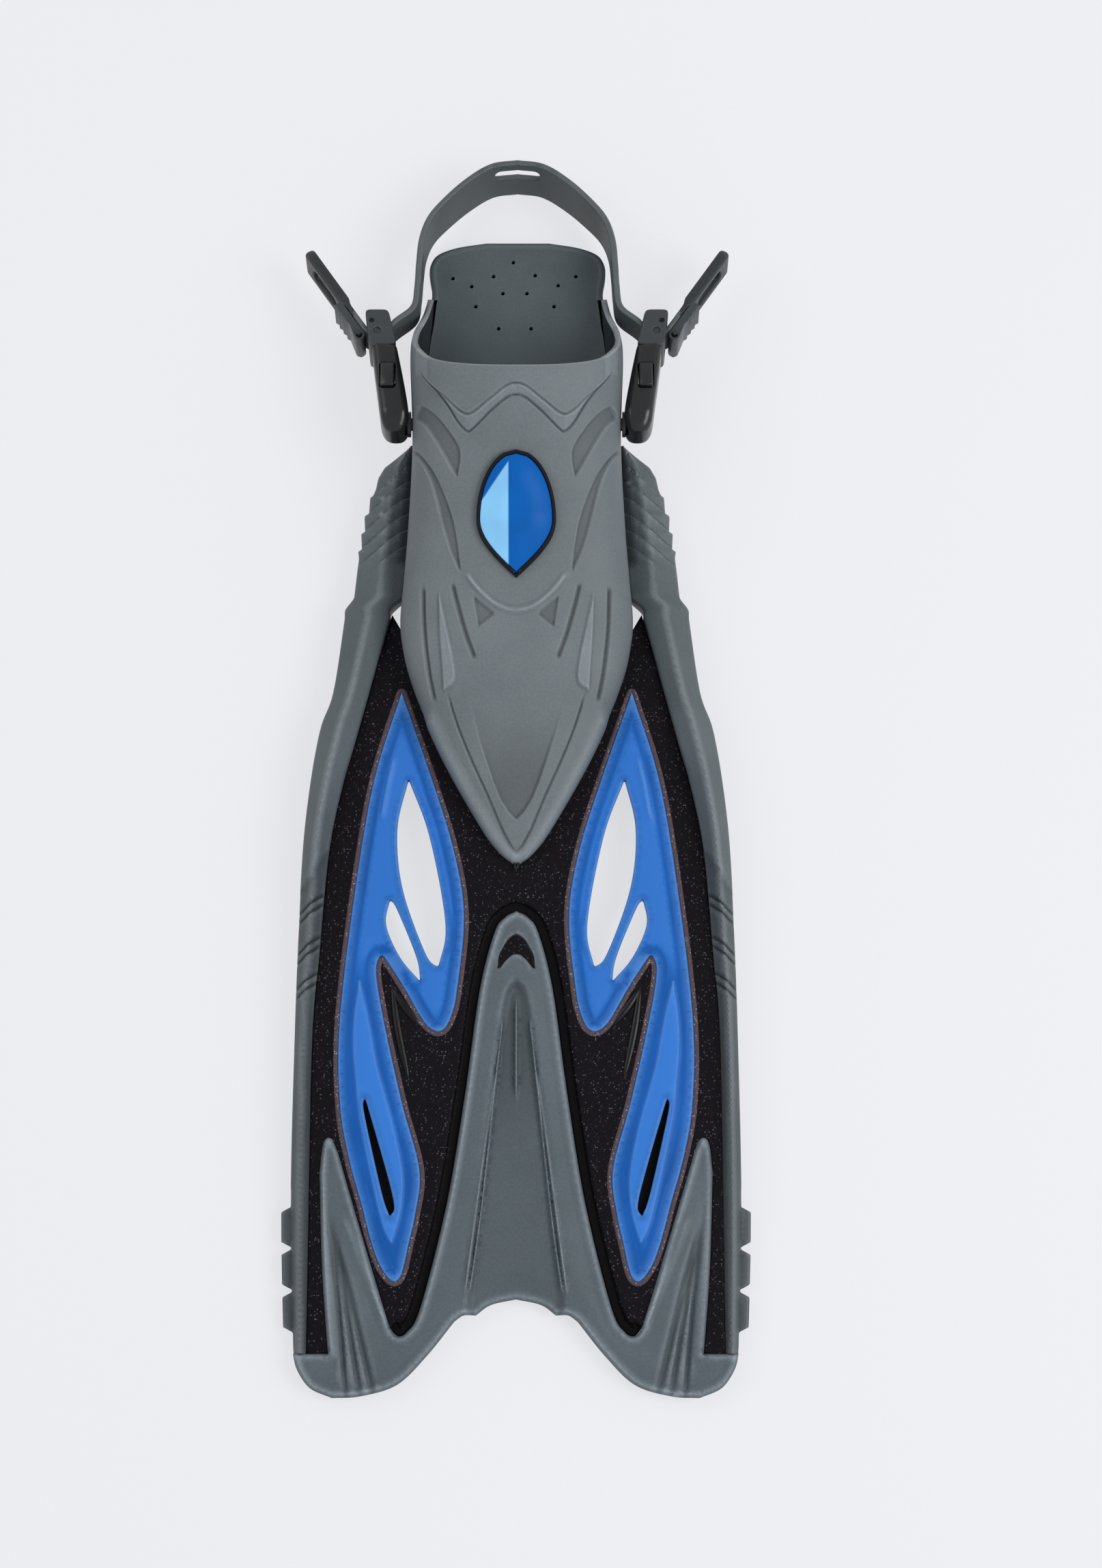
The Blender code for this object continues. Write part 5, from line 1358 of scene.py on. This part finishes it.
def pocket_skin():
    """Rows of points over the pocket's outside, from the apron's tip to the ankle opening."""
    columns = ("base", "widest", "level", "height", "foot")
    tables = {column: pocket_table(column) for column in columns}

    def section(y):
        x, z = arch_half(*(float(np.interp(y, *tables[column])) for column in columns))
        return x, z + rise(y)

    start = TOE_Y - APRON_LENGTH + 0.5
    x, z = section(start)
    rows = [np.column_stack((x * shrink, np.full(ARCH_POINTS, start - ahead), np.minimum(z, z[0] + lift)))
            for shrink, ahead, lift in TIP_ROWS]
    for y in np.concatenate((np.arange(start, 100.0, 1.0), np.arange(100.0, TURN_Y, 0.7))):
        x, z = section(y)
        rows.append(np.column_stack((x, np.full(ARCH_POINTS, y), z)))
    fine = np.linspace(TURN_Y, FALL_Y, 120)
    sections = [section(y) for y in fine]
    xs = np.array([x for x, _ in sections])
    zs = np.array([z for _, z in sections])
    plane = INSTEP_HEIGHT + (HEEL_RIM - INSTEP_HEIGHT) * (fine - LIP_Y) / (FALL_Y - LIP_Y)
    ends = np.full(ARCH_POINTS, FALL_Y)
    for i in range(ARCH_POINTS):
        over = zs[:, i] - plane
        above = np.flatnonzero(over > 0)
        if len(above) and above[0]:
            pair = slice(above[0] - 1, above[0] + 1)
            ends[i] = np.interp(0, over[pair], fine[pair])
    for share in np.linspace(0, 1, TURN_ROWS):
        y = TURN_Y + share * (ends - TURN_Y)
        x = [np.interp(y[i], fine, xs[:, i]) for i in range(ARCH_POINTS)]
        z = [np.interp(y[i], fine, zs[:, i]) for i in range(ARCH_POINTS)]
        rows.append(np.column_stack((x, y, z)))
    right = np.array(rows)
    left = right[:, ::-1][:, 1:] * (-1, 1, 1)
    return np.concatenate((right, left), axis=1)


def outward(skin):
    """Unit normals of rows of points over the pocket, which point away from the foot."""
    normal = np.cross(np.gradient(skin, axis=1), np.gradient(skin, axis=0))
    normal /= np.maximum(np.linalg.norm(normal, axis=2), 1e-9)[..., None]
    return normal * np.sign((normal * (0, 0, 1) + normal * skin * (1, 0, 0)).sum(2))[..., None]


def build_pocket():
    skin = pocket_skin()
    marks = both_sides(POCKET_MARKS)
    for line, width, height, fade in CROSSING:
        line = list(line)
        marks.append(ridge(line + [(-x, y) for x, y in line[-2::-1]], width, height, fade))
    flat = skin[..., :2].reshape(-1, 2)
    stands = relief(flat, marks)
    chamfer = w_chamfer(flat)
    scoop = toe_scoop(flat)
    lift = (stands + W_DROP * chamfer - SCOOP * scoop).reshape(skin.shape[:2])
    # Painted shade in the toe's scoop and painted light on the W's chamfer band, in the relief attribute only
    stands -= SCOOP_SHADE * scoop
    stands += W_SHADE * ((chamfer > 0) & (chamfer < 0.9))
    mesh = grid_mesh("embossed_foot_pocket", skin + outward(skin) * lift[..., None], lift=stands)
    pocket = add_piece(mesh, finishes.get("pocket"), "fin", "pocket_rubber", "foot_pocket")
    # Painted shade: the inside of the pocket's wall takes the darker copy of the rubber
    mesh.materials.append(finishes.get("pocket_inside_shade"))
    wall = pocket.modifiers.new("wall", "SOLIDIFY")
    wall.thickness = SHELL * MM
    wall.offset = -1
    wall.material_offset = 1
    add_piece(heel_rim(), finishes.get("bed"), "fin", "pocket_rubber")


def heel_path(margin):
    """Plan of the heel, inside the pocket's base by the margin, from right to left."""
    places, wide = pocket_table("widest")
    keep = places > FALL_Y
    start = (np.interp(FALL_Y, places, wide), FALL_Y)
    right = np.vstack(([start], np.column_stack((wide[keep], places[keep]))))
    path = spaced(np.vstack((right, mirrored(right))), 2.0, closed=False)
    return path + sideways(path, False) * margin


# Section of the heel's rim: distance in from its outside, and height
HEEL_PROFILE = ((0, CORE_LOW), (0, 10.4), (0.5, 11.5), (1.4, HEEL_RIM), (2.6, HEEL_RIM), (3.5, 11.5),
                (4.0, 10.4), (4.0, CORE_LOW))


def heel_rim():
    rows = [np.column_stack((heel_path(depth), np.full(len(heel_path(0)), z))) for depth, z in HEEL_PROFILE]
    return grid_mesh("heel_rim", np.stack(rows, axis=1), cap=True, closed=True)


def sole_outline(margin, level=CORE_LOW):
    """Plan of the pocket's outside at a height, less the margin."""
    places, base = pocket_table("base")
    widest, shoulder = pocket_table("widest")[1], pocket_table("level")[1]
    share = np.clip((level - CORE_LOW) / (SIDE_LEVEL * (shoulder - CORE_LOW)), 0, 1) * (places < FALL_Y)
    keep = places >= TOE_Y
    right = np.column_stack((base + SIDE_BULGE * np.maximum(widest - base, 0) * share, places))[keep]
    return grown(np.vstack((right, mirrored(right))), -margin)


TREADS = 7
TREAD_DEPTH = 1.6
TREAD_HALF_LENGTH = 45
TREAD_POINTS = 3.0
OUTSOLE_TOP = 4.0
OUTSOLE_MARGIN = 0.2
OUTSOLE_EDGE = 0.9
BED_LAP = 0.4
BED_CURL = 0.8
BED_CURL_RUN = 4.0
BED_RINGS = (0.2, 0.6, 1.4)
DRAIN_POINTS = 16


def build_sole(pitch):
    flat_y = RISE[-1][0]
    step = (HEEL_Y - flat_y) / (TREADS + 1)
    lines = [flat_y + step * (i + 1) for i in range(TREADS)]
    seeds = [ridge([(-TREAD_HALF_LENGTH, y), (TREAD_HALF_LENGTH, y)], TREAD_POINTS, 0) for y in lines]

    def under(x, y, depth):
        groove = np.zeros(len(x))
        for line in lines:
            groove += TREAD_DEPTH * ease(2.2 - np.abs(y - line) / 0.9)
        return rise(y) + groove + edge_drop(depth, OUTSOLE_EDGE)

    mesh = relief_mesh("grooved_outsole", [sole_outline(OUTSOLE_MARGIN)], pitch,
                       lambda x, y, depth: OUTSOLE_TOP + rise(y), under, seeds)
    add_piece(mesh, finishes.get("rail"), "fin", "rail_rubber", "outsole")
    angles = turns(DRAIN_POINTS)
    drain = DRAIN_RADIUS * np.column_stack((np.cos(angles), np.sin(angles)))
    loops = [sole_outline(SHELL - BED_LAP, BED_HIGH)]
    loops += [drain + (across, HEEL_Y - back) for across, back in DRAINS]

    def bed(x, y, depth):
        return BED_HIGH + rise(y) + BED_CURL * np.exp(-depth / BED_CURL_RUN)

    mesh = relief_mesh("drained_footbed", loops, pitch, bed, lambda x, y, depth: BED_LOW + rise(y),
                       rings=BED_RINGS)
    add_piece(mesh, finishes.get("bed"), "fin", "pocket_rubber", "footbed")


def badge_outline(margin):
    """A leaf: round towards the heel, pointed towards the tip, widest a little nearer the point."""
    t = np.linspace(0, 1, 41)
    rising = np.sin(math.pi / 2 * np.clip(t / BADGE_WIDEST, 0, 1))
    falling = np.sqrt(1 - np.clip((t - BADGE_WIDEST) / (1 - BADGE_WIDEST), 0, 1) ** 2)
    half = np.column_stack((BADGE_HALF_WIDTH * np.where(t < BADGE_WIDEST, rising, falling),
                            BADGE_MID_Y + BADGE_LENGTH * (t - 0.5)))
    half[0, 0] = half[-1, 0] = 0
    return grown(whole(half), -margin)


def build_badge():
    def on_pocket(points):
        return points + np.column_stack((np.zeros((len(points), 2)), pocket_top(points[:, 0], points[:, 1])))

    def swell(x, y, depth):
        return BADGE_SEAT + BADGE_FACE + BADGE_SWELL * ease(depth / BADGE_SWELL_RUN)

    bezel = relief_mesh("badge_rim", [badge_outline(0), badge_outline(BEZEL_WIDTH)], 1.4,
                        lambda x, y, depth: BADGE_SEAT + BEZEL_HEIGHT - edge_drop(depth, BEZEL_EDGE),
                        lambda x, y, depth: np.full(len(x), BADGE_SEAT - BEZEL_ROOT), place=on_pocket)
    add_piece(bezel, finishes.get("bezel"), "fin", "gloss_black", "badge_bezel")
    face = relief_mesh("badge_face", [badge_outline(BEZEL_WIDTH + BADGE_GAP)], 1.6, swell,
                       lambda x, y, depth: np.full(len(x), BADGE_SEAT), place=on_pocket)
    add_piece(face, finishes.get("badge"), "fin", "badge_blue", "badge_plate")


def from_swivel(points):
    """Points in the strap's frame moved to where the strap hangs at rest."""
    return np.asarray(points) @ np.array(SWIVEL.to_3x3()).T + np.array(SWIVEL.translation)


# Strap, laid flat: pull slot by length, height and place across; tab loops by length, height and distance
# from the end; where the thicker tabs begin; ladder teeth by distance from the heel
SLOT_LENGTH, SLOT_HEIGHT, SLOT_ACROSS = 22.0, 7.0, 5.0
SLOT_CORNER = 3.0
LOOP_LENGTH, LOOP_HEIGHT, LOOP_END = 20.0, 9.0, 8.0
LOOP_CORNER = 4.0
TAB_START = 36.0
TAB_BLEND = 4.0
TAB_SWELL = 1.2
TAB_X = 77.0
TAB_CORNER = 3.0
TAB_ROUND = 2.4
TEETH_FROM, TEETH_TO = 46.0, 82.0
TOOTH_PITCH = 3.2
TOOTH_MARGIN = 3.0
STRAP_EDGE = 1.0
STRAP_BEAD = 0.45
STRAP_BEAD_END = 112
STRAP_RINGS = (0.12, 0.4, 0.9, 1.5)
BEND_STEP = 0.6


def rounded_box(middle, length, height, radius):
    """A rounded rectangle as a closed outline."""
    corners = []
    for quarter, (sx, sy) in enumerate(((1, 1), (-1, 1), (-1, -1), (1, -1))):
        turns = np.linspace(0, math.pi / 2, 7) + quarter * math.pi / 2
        centre = np.array(middle) + (sx * (length / 2 - radius), sy * (height / 2 - radius))
        corners.append(centre + radius * np.column_stack((np.cos(turns), np.sin(turns))))
    return np.vstack(corners)


def strap_path():
    """Middle line of the right half of the strap and its half height, with the distance along it."""
    path = curve(STRAP_ROUTE, 8)
    along = np.concatenate(([0], np.cumsum(np.hypot(*np.diff(path[:, :2], axis=0).T))))
    return along, path


def build_strap(pitch):
    along, path = strap_path()
    end = along[-1]
    turn_s = end - TAB_CORNER
    s = np.concatenate((np.arange(0, turn_s, 1.6), turn_s + np.array((0, 1.2, 2.1, 2.7, TAB_CORNER))))
    corner = np.clip((s - turn_s) / TAB_CORNER, 0, 1)
    half = np.interp(s, along, path[:, 2]) - TAB_CORNER * (1 - np.sqrt(1 - corner ** 2))
    upper = np.vstack((np.column_stack((-s, half))[:0:-1], np.column_stack((s, half))))
    outline = np.vstack((upper, upper[::-1] * (1, -1)))
    loops = [outline, rounded_box((0, SLOT_ACROSS), SLOT_LENGTH, SLOT_HEIGHT, SLOT_CORNER)]
    loop_s = end - LOOP_END - LOOP_LENGTH / 2
    loops += [rounded_box((side * loop_s, 0), LOOP_LENGTH, LOOP_HEIGHT, LOOP_CORNER) for side, _ in SIDES]
    teeth = []
    for at in np.arange(TEETH_FROM, TEETH_TO, TOOTH_PITCH):
        tall = np.interp(at, along, path[:, 2]) - TOOTH_MARGIN
        teeth += [ridge([(side * at, -tall), (side * at, tall)], 1.2, 0.5, 0.08) for side, _ in SIDES]

    def thick(s_at):
        left = end - np.abs(s_at)
        tab = ease((TAB_START - left) / TAB_BLEND)
        round_end = np.sqrt(np.clip(1 - np.clip(1 - left / TAB_ROUND, 0, 1) ** 2, 0.02, 1))
        return (STRAP_THICKNESS / 2 + TAB_SWELL * tab) * round_end

    def outer(s_at, w, depth):
        bead = STRAP_BEAD * bell(depth, 1.4, 0.8) * (np.abs(s_at) < STRAP_BEAD_END)
        return thick(s_at) + bead - edge_drop(depth, STRAP_EDGE)

    def inner(s_at, w, depth):
        return -thick(s_at) + edge_drop(depth, STRAP_EDGE)

    def bend(points):
        """Points of the flat strap moved to where it runs round the heel."""
        side = np.sign(points[:, 0])
        at = np.abs(points[:, 0])
        x, y = (np.interp(at, along, path[:, i]) for i in (0, 1))
        ahead = [np.interp(np.minimum(at + BEND_STEP, end), along, path[:, i]) for i in (0, 1)]
        behind = [np.interp(np.maximum(at - BEND_STEP, 0), along, path[:, i]) for i in (0, 1)]
        way = np.column_stack((ahead[0] - behind[0], ahead[1] - behind[1]))
        way[at < BEND_STEP, 1] = 0
        way /= np.linalg.norm(way, axis=1)[:, None]
        x = x - way[:, 1] * points[:, 2]
        y = y + way[:, 0] * points[:, 2]
        return from_swivel(np.column_stack((np.where(side < 0, -1, 1) * x, y, points[:, 1])))

    mesh = relief_mesh("toothed_heel_strap", loops, pitch, outer, inner, teeth, bend, STRAP_RINGS)
    add_piece(mesh, finishes.get("strap"), "strap", "strap_rubber", "heel_strap")
    mesh.materials.append(finishes.get("tab"))
    for face in mesh.polygons:
        face.material_index = int(abs(face.center.x) > TAB_X * MM)


# Buckle in the strap's frame, right side: outlines of the socket and of the clip that plugs into it
SOCKET_EDGE = [
    [(68.9, 40.5), (66.4, 20.7), (64.9, 9.5), (64.0, 2.4), (62.8, -3.0), (60.6, -6.2), (56.4, -7.0),
     (52.6, -6.0), (50.8, -2.6)],
    [(50.8, -2.6), (50.6, 4.0), (53.4, 21.0), (57.2, 40.5)],
]
SOCKET_HALF_HEIGHT = 12.0
SOCKET_EDGE_RADIUS = 3.6
SOCKET_NOSE_DROP = 3.2
SOCKET_NOSE_Y = 3.0
SOCKET_NOSE_RUN = 9.0
SOCKET_RINGS = (0.1, 0.35, 0.8, 1.4, 2.0, 2.8, 3.6)
CLIP_EDGE = [[(71.6, 55.0), (60.6, 55.0)], [(60.6, 55.0), (56.4, 36.6)], [(56.4, 36.6), (69.6, 35.4)],
             [(69.6, 35.4), (71.6, 55.0)]]
CLIP_HALF_HEIGHT = 11.9
CLIP_EDGE_RADIUS = 1.2
CLIP_RINGS = (0.1, 0.35, 0.8, 1.2)
PIN_EYE = (65.8, 43.8)
PIN_EYE_SIZE = 3.2
PIN_EYE_DEPTH = 1.4
BUTTON_WIDTH, BUTTON_LENGTH, BUTTON_START = 6.4, 12.0, 14.0
BUTTON_X = 60.5
WINDOW_ROOM = 1.2
WINDOW_CORNER = 1.6
WINDOW_EDGE = 0.4


def built_object(mesh):
    thing = bpy.data.objects.new(mesh.name, mesh)
    bpy.context.scene.collection.objects.link(thing)
    return thing


def socket_mesh(word, side):
    """The socket with the window that the release buttons come through."""
    outline = rounded(runs(SOCKET_EDGE), 6) * (side, 1)
    window = rounded_box((side * BUTTON_X, BUTTON_START + BUTTON_LENGTH / 2), BUTTON_WIDTH + WINDOW_ROOM,
                         BUTTON_LENGTH + WINDOW_ROOM, WINDOW_CORNER)

    def half(x, y, depth):
        inward = path_distance(np.column_stack((x, y)), outline, True)[0]
        nose = SOCKET_NOSE_DROP * ease((SOCKET_NOSE_Y - y) / SOCKET_NOSE_RUN)
        edges = edge_drop(inward, SOCKET_EDGE_RADIUS)
        return SOCKET_HALF_HEIGHT - nose - edges - edge_drop(depth, WINDOW_EDGE)

    return relief_mesh(word + "_polished_socket", [outline, window], 1.0, half,
                       lambda x, y, depth: -half(x, y, depth), place=from_swivel, rings=SOCKET_RINGS)


def clip_mesh(word, side):
    """The clip that holds the strap's roller."""
    outline = rounded(runs(CLIP_EDGE), 8) * (side, 1)
    eye = rounded_box((side * PIN_EYE[0], PIN_EYE[1]), PIN_EYE_SIZE, PIN_EYE_SIZE, PIN_EYE_SIZE / 2)
    return relief_mesh(word + "_rounded_clip", [outline], 1.2,
                       lambda x, y, depth: CLIP_HALF_HEIGHT - edge_drop(depth, CLIP_EDGE_RADIUS),
                       lambda x, y, depth: edge_drop(depth, CLIP_EDGE_RADIUS) - CLIP_HALF_HEIGHT,
                       [patch(eye, -PIN_EYE_DEPTH, 0.6)], from_swivel, CLIP_RINGS)


def rounded_copy(node, name, width, segments=3):
    """A CAD node's mesh with its edges rounded."""
    bm = bmesh.new()
    bm.from_mesh(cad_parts[node].data)
    bmesh.ops.remove_doubles(bm, verts=bm.verts, dist=0.005 * MM)
    bmesh.ops.dissolve_limit(bm, angle_limit=math.radians(1.0), verts=bm.verts, edges=bm.edges)
    mesh = bpy.data.meshes.new(name)
    bm.to_mesh(mesh)
    bm.free()
    body = built_object(mesh)
    edges = body.modifiers.new("edges", "BEVEL")
    edges.width = width * MM
    edges.segments = segments
    edges.limit_method = "ANGLE"
    edges.angle_limit = math.radians(35)
    bpy.context.view_layer.update()
    made = bpy.data.meshes.new_from_object(body.evaluated_get(bpy.context.evaluated_depsgraph_get()))
    bpy.data.objects.remove(body)
    bpy.data.meshes.remove(mesh)
    made.name = name
    made.shade_smooth()
    made.set_sharp_from_angle(angle=math.radians(50))
    return made


LEVER_EDGE = 0.35
BUTTON_EDGE = 0.3


def build_buckles():
    for side, word in SIDES:
        socket = socket_mesh(word, side)
        add_piece(socket, finishes.get("gloss"), "strap", "gloss_black", word + "_buckle_socket")
        clip = clip_mesh(word, side)
        add_piece(clip, finishes.get("clip"), "strap", "gloss_black", word + "_buckle_clip")
        lever = rounded_copy(word + "_lock_lever", word + "_serrated_lever", LEVER_EDGE)
        add_piece(lever, finishes.get("clip"), word + "_lock_lever", "gloss_black", word + "_lock_lever")
        for place in ("upper", "lower"):
            button = "%s_%s_release_button" % (word, place)
            mesh = rounded_copy(button, "%s_%s_press_button" % (word, place), BUTTON_EDGE, 2)
            add_piece(mesh, finishes.get("gloss"), button, "gloss_black", button)


def dress_hardware():
    """Finishes for the CAD nodes that keep their own shape."""
    for word in ("left", "right"):
        for node, finish in (("swivel_stud", "gloss"), ("stud_washer", "gloss"), ("strap_roller", "gloss"),
                             ("lever_pin", "steel"), ("roller_pin", "gloss")):
            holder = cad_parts["%s_%s" % (word, node)]
            for slot in holder.material_slots:
                slot.material = finishes.get(finish)


def add_lamp(name, place, side, power):
    """A white square lamp that shines at the middle of the fin."""
    lamp = bpy.data.lights.new(name, "AREA")
    lamp.shape = "RECTANGLE"
    lamp.size = lamp.size_y = side
    lamp.energy = power
    lamp.color = srgb("#ffffff")[:3]
    holder = bpy.data.objects.new(name, lamp)
    holder.location = place
    holder.rotation_euler = (-Vector(place)).to_track_quat("-Z", "Y").to_euler()
    bpy.context.scene.collection.objects.link(holder)


# Brightness of the sky from the horizon up; places and sides of the square lamps, in metres
SKY = [(0.0, 1.05), (0.12, 1.05), (0.25, 0.7), (0.5, 1.0), (1.0, 0.6)]
KEY_PLACE = (1.2, -0.25, 1.5)
KEY_SIDE = 1.0
FILL_PLACE = (-1.1, 0.5, 1.5)
FILL_SIDE = 1.2


def build_stage(looks):
    scene = bpy.context.scene
    scene.view_settings.view_transform = "Standard"
    floor = grid_mesh("floor", [[(x, y, FLOOR_LEVEL) for x in (-FLOOR, FLOOR)] for y in (-FLOOR, FLOOR)])
    floor.materials.append(pale_floor("floor_paint_matt", looks.floor_tone, looks.backdrop_tone))
    holder = built_object(floor)
    world = bpy.data.worlds.new("studio")
    scene.world = world
    world.use_nodes = True
    tree = world.node_tree
    way = add_node(tree, "ShaderNodeTexCoord", "Generated")
    height = add_node(tree, "ShaderNodeSeparateXYZ", "Z", {"Vector": way})
    sky = add_node(tree, RAMP, "Color", {"Fac": height}, SKY)
    fill_sockets(tree, tree.nodes["Background"], {"Color": sky, "Strength": looks.world_strength})
    add_lamp("key", KEY_PLACE, KEY_SIDE, looks.key_power)
    add_lamp("fill", FILL_PLACE, FILL_SIDE, looks.fill_power)
    eye = bpy.data.cameras.new("camera")
    eye.sensor_fit = "VERTICAL"
    eye.sensor_height = SENSOR
    eye.lens = SENSOR * FOCAL_SHARE
    viewer = bpy.data.objects.new("camera", eye)
    tilt = math.radians(90.0 - CAMERA_ELEVATION)
    back = CAMERA_DISTANCE * math.sin(tilt)
    high = CAMERA_DISTANCE * math.cos(tilt)
    viewer.location = Vector((CAMERA_TARGET[0], CAMERA_TARGET[1] - back, high)) * MM
    viewer.rotation_euler = (tilt, 0, 0)
    scene.collection.objects.link(viewer)
    scene.camera = viewer


class SwimFinLooks(bpy.types.PropertyGroup):
    """Sizes and colours of the fin's looks"""

    mesh_pitch: bpy.props.FloatProperty(
        name="Mesh pitch", description="Spacing of the blade's mesh points, in mm", default=2.0, min=0.5)
    pocket_tone: bpy.props.StringProperty(
        name="Pocket colour", description="sRGB hex of the pocket's rubber", default="#7a8287")
    rail_tone: bpy.props.StringProperty(
        name="Rail colour", description="sRGB hex of the rails' rubber", default="#5a6266")
    tip_tone: bpy.props.StringProperty(
        name="Tip colour", description="sRGB hex of the tip's rubber", default="#606b72")
    panel_tone: bpy.props.StringProperty(
        name="Panel colour", description="sRGB hex of the blade's panel", default="#0f0d12")
    insert_tone: bpy.props.StringProperty(
        name="Insert colour", description="sRGB hex of the vented inserts", default="#0f58ab")
    floor_tone: bpy.props.StringProperty(
        name="Floor colour", description="sRGB hex of the floor", default="#c6c8cc")
    backdrop_tone: bpy.props.StringProperty(
        name="Backdrop colour", description="sRGB hex of the floor's own glow", default="#f9fafd")
    key_power: bpy.props.FloatProperty(
        name="Key light", description="Power of the main lamp", default=20.0, unit="POWER")
    fill_power: bpy.props.FloatProperty(
        name="Fill light", description="Power of the weaker lamp", default=8.0, unit="POWER")
    world_strength: bpy.props.FloatProperty(
        name="Sky", description="Strength of the even light from all round", default=0.72)


class SWIMFIN_OT_blade(bpy.types.Operator):
    """Blade: flecked panel, vented inserts with their seams, grooved tip"""

    bl_idname = "swim_fin.blade"
    bl_label = "Blade"

    def execute(self, context):
        pitch = context.scene.swim_fin.mesh_pitch
        build_panel(pitch)
        build_tip(pitch * 0.8)
        build_inserts(pitch * 0.8)
        return {"FINISHED"}


class SWIMFIN_OT_rails(bpy.types.Operator):
    """Rails: side rails with their bumps, grooves and shingled wings"""

    bl_idname = "swim_fin.rails"
    bl_label = "Rails"

    def execute(self, context):
        build_rails(context.scene.swim_fin.mesh_pitch * 0.8)
        return {"FINISHED"}


class SWIMFIN_OT_pocket(bpy.types.Operator):
    """Foot pocket: embossed shell, heel rim, outsole and drained footbed"""

    bl_idname = "swim_fin.pocket"
    bl_label = "Foot pocket"

    def execute(self, context):
        build_pocket()
        build_sole(context.scene.swim_fin.mesh_pitch)
        return {"FINISHED"}


class SWIMFIN_OT_badge(bpy.types.Operator):
    """Badge: bare enamelled face in a black rim"""

    bl_idname = "swim_fin.badge"
    bl_label = "Badge"

    def execute(self, context):
        build_badge()
        return {"FINISHED"}


class SWIMFIN_OT_strap(bpy.types.Operator):
    """Heel strap with its slot, teeth and pull tabs"""

    bl_idname = "swim_fin.strap"
    bl_label = "Heel strap"

    def execute(self, context):
        build_strap(context.scene.swim_fin.mesh_pitch * 0.8)
        return {"FINISHED"}


class SWIMFIN_OT_buckles(bpy.types.Operator):
    """Buckles: sockets, clips, levers, buttons and their hardware"""

    bl_idname = "swim_fin.buckles"
    bl_label = "Buckles"

    def execute(self, context):
        build_buckles()
        dress_hardware()
        return {"FINISHED"}


class SWIMFIN_OT_stage(bpy.types.Operator):
    """Stage: floor, soft light and camera"""

    bl_idname = "swim_fin.stage"
    bl_label = "Stage"

    def execute(self, context):
        build_stage(context.scene.swim_fin)
        return {"FINISHED"}


OPERATORS = (SWIMFIN_OT_blade, SWIMFIN_OT_rails, SWIMFIN_OT_pocket, SWIMFIN_OT_badge, SWIMFIN_OT_strap,
             SWIMFIN_OT_buckles, SWIMFIN_OT_stage)


class SWIMFIN_PT_looks(bpy.types.Panel):
    bl_label = "Swim fin"
    bl_idname = "SWIMFIN_PT_looks"
    bl_space_type = "VIEW_3D"
    bl_region_type = "UI"
    bl_category = "Swim fin"

    def draw(self, context):
        looks = context.scene.swim_fin
        for name in looks.bl_rna.properties.keys():
            if name not in ("rna_type", "name"):
                self.layout.prop(looks, name)
        for operator in OPERATORS:
            self.layout.operator(operator.bl_idname)


CLASSES = (SwimFinLooks, *OPERATORS, SWIMFIN_PT_looks)


def register():
    for made in CLASSES:
        bpy.utils.register_class(made)
    bpy.types.Scene.swim_fin = bpy.props.PointerProperty(type=SwimFinLooks)


def unregister():
    del bpy.types.Scene.swim_fin
    for made in reversed(CLASSES):
        bpy.utils.unregister_class(made)


def main():
    register()
    for operator in OPERATORS:
        group, name = operator.bl_idname.split(".")
        getattr(getattr(bpy.ops, group), name)()


if __name__ == "__main__":
    main()
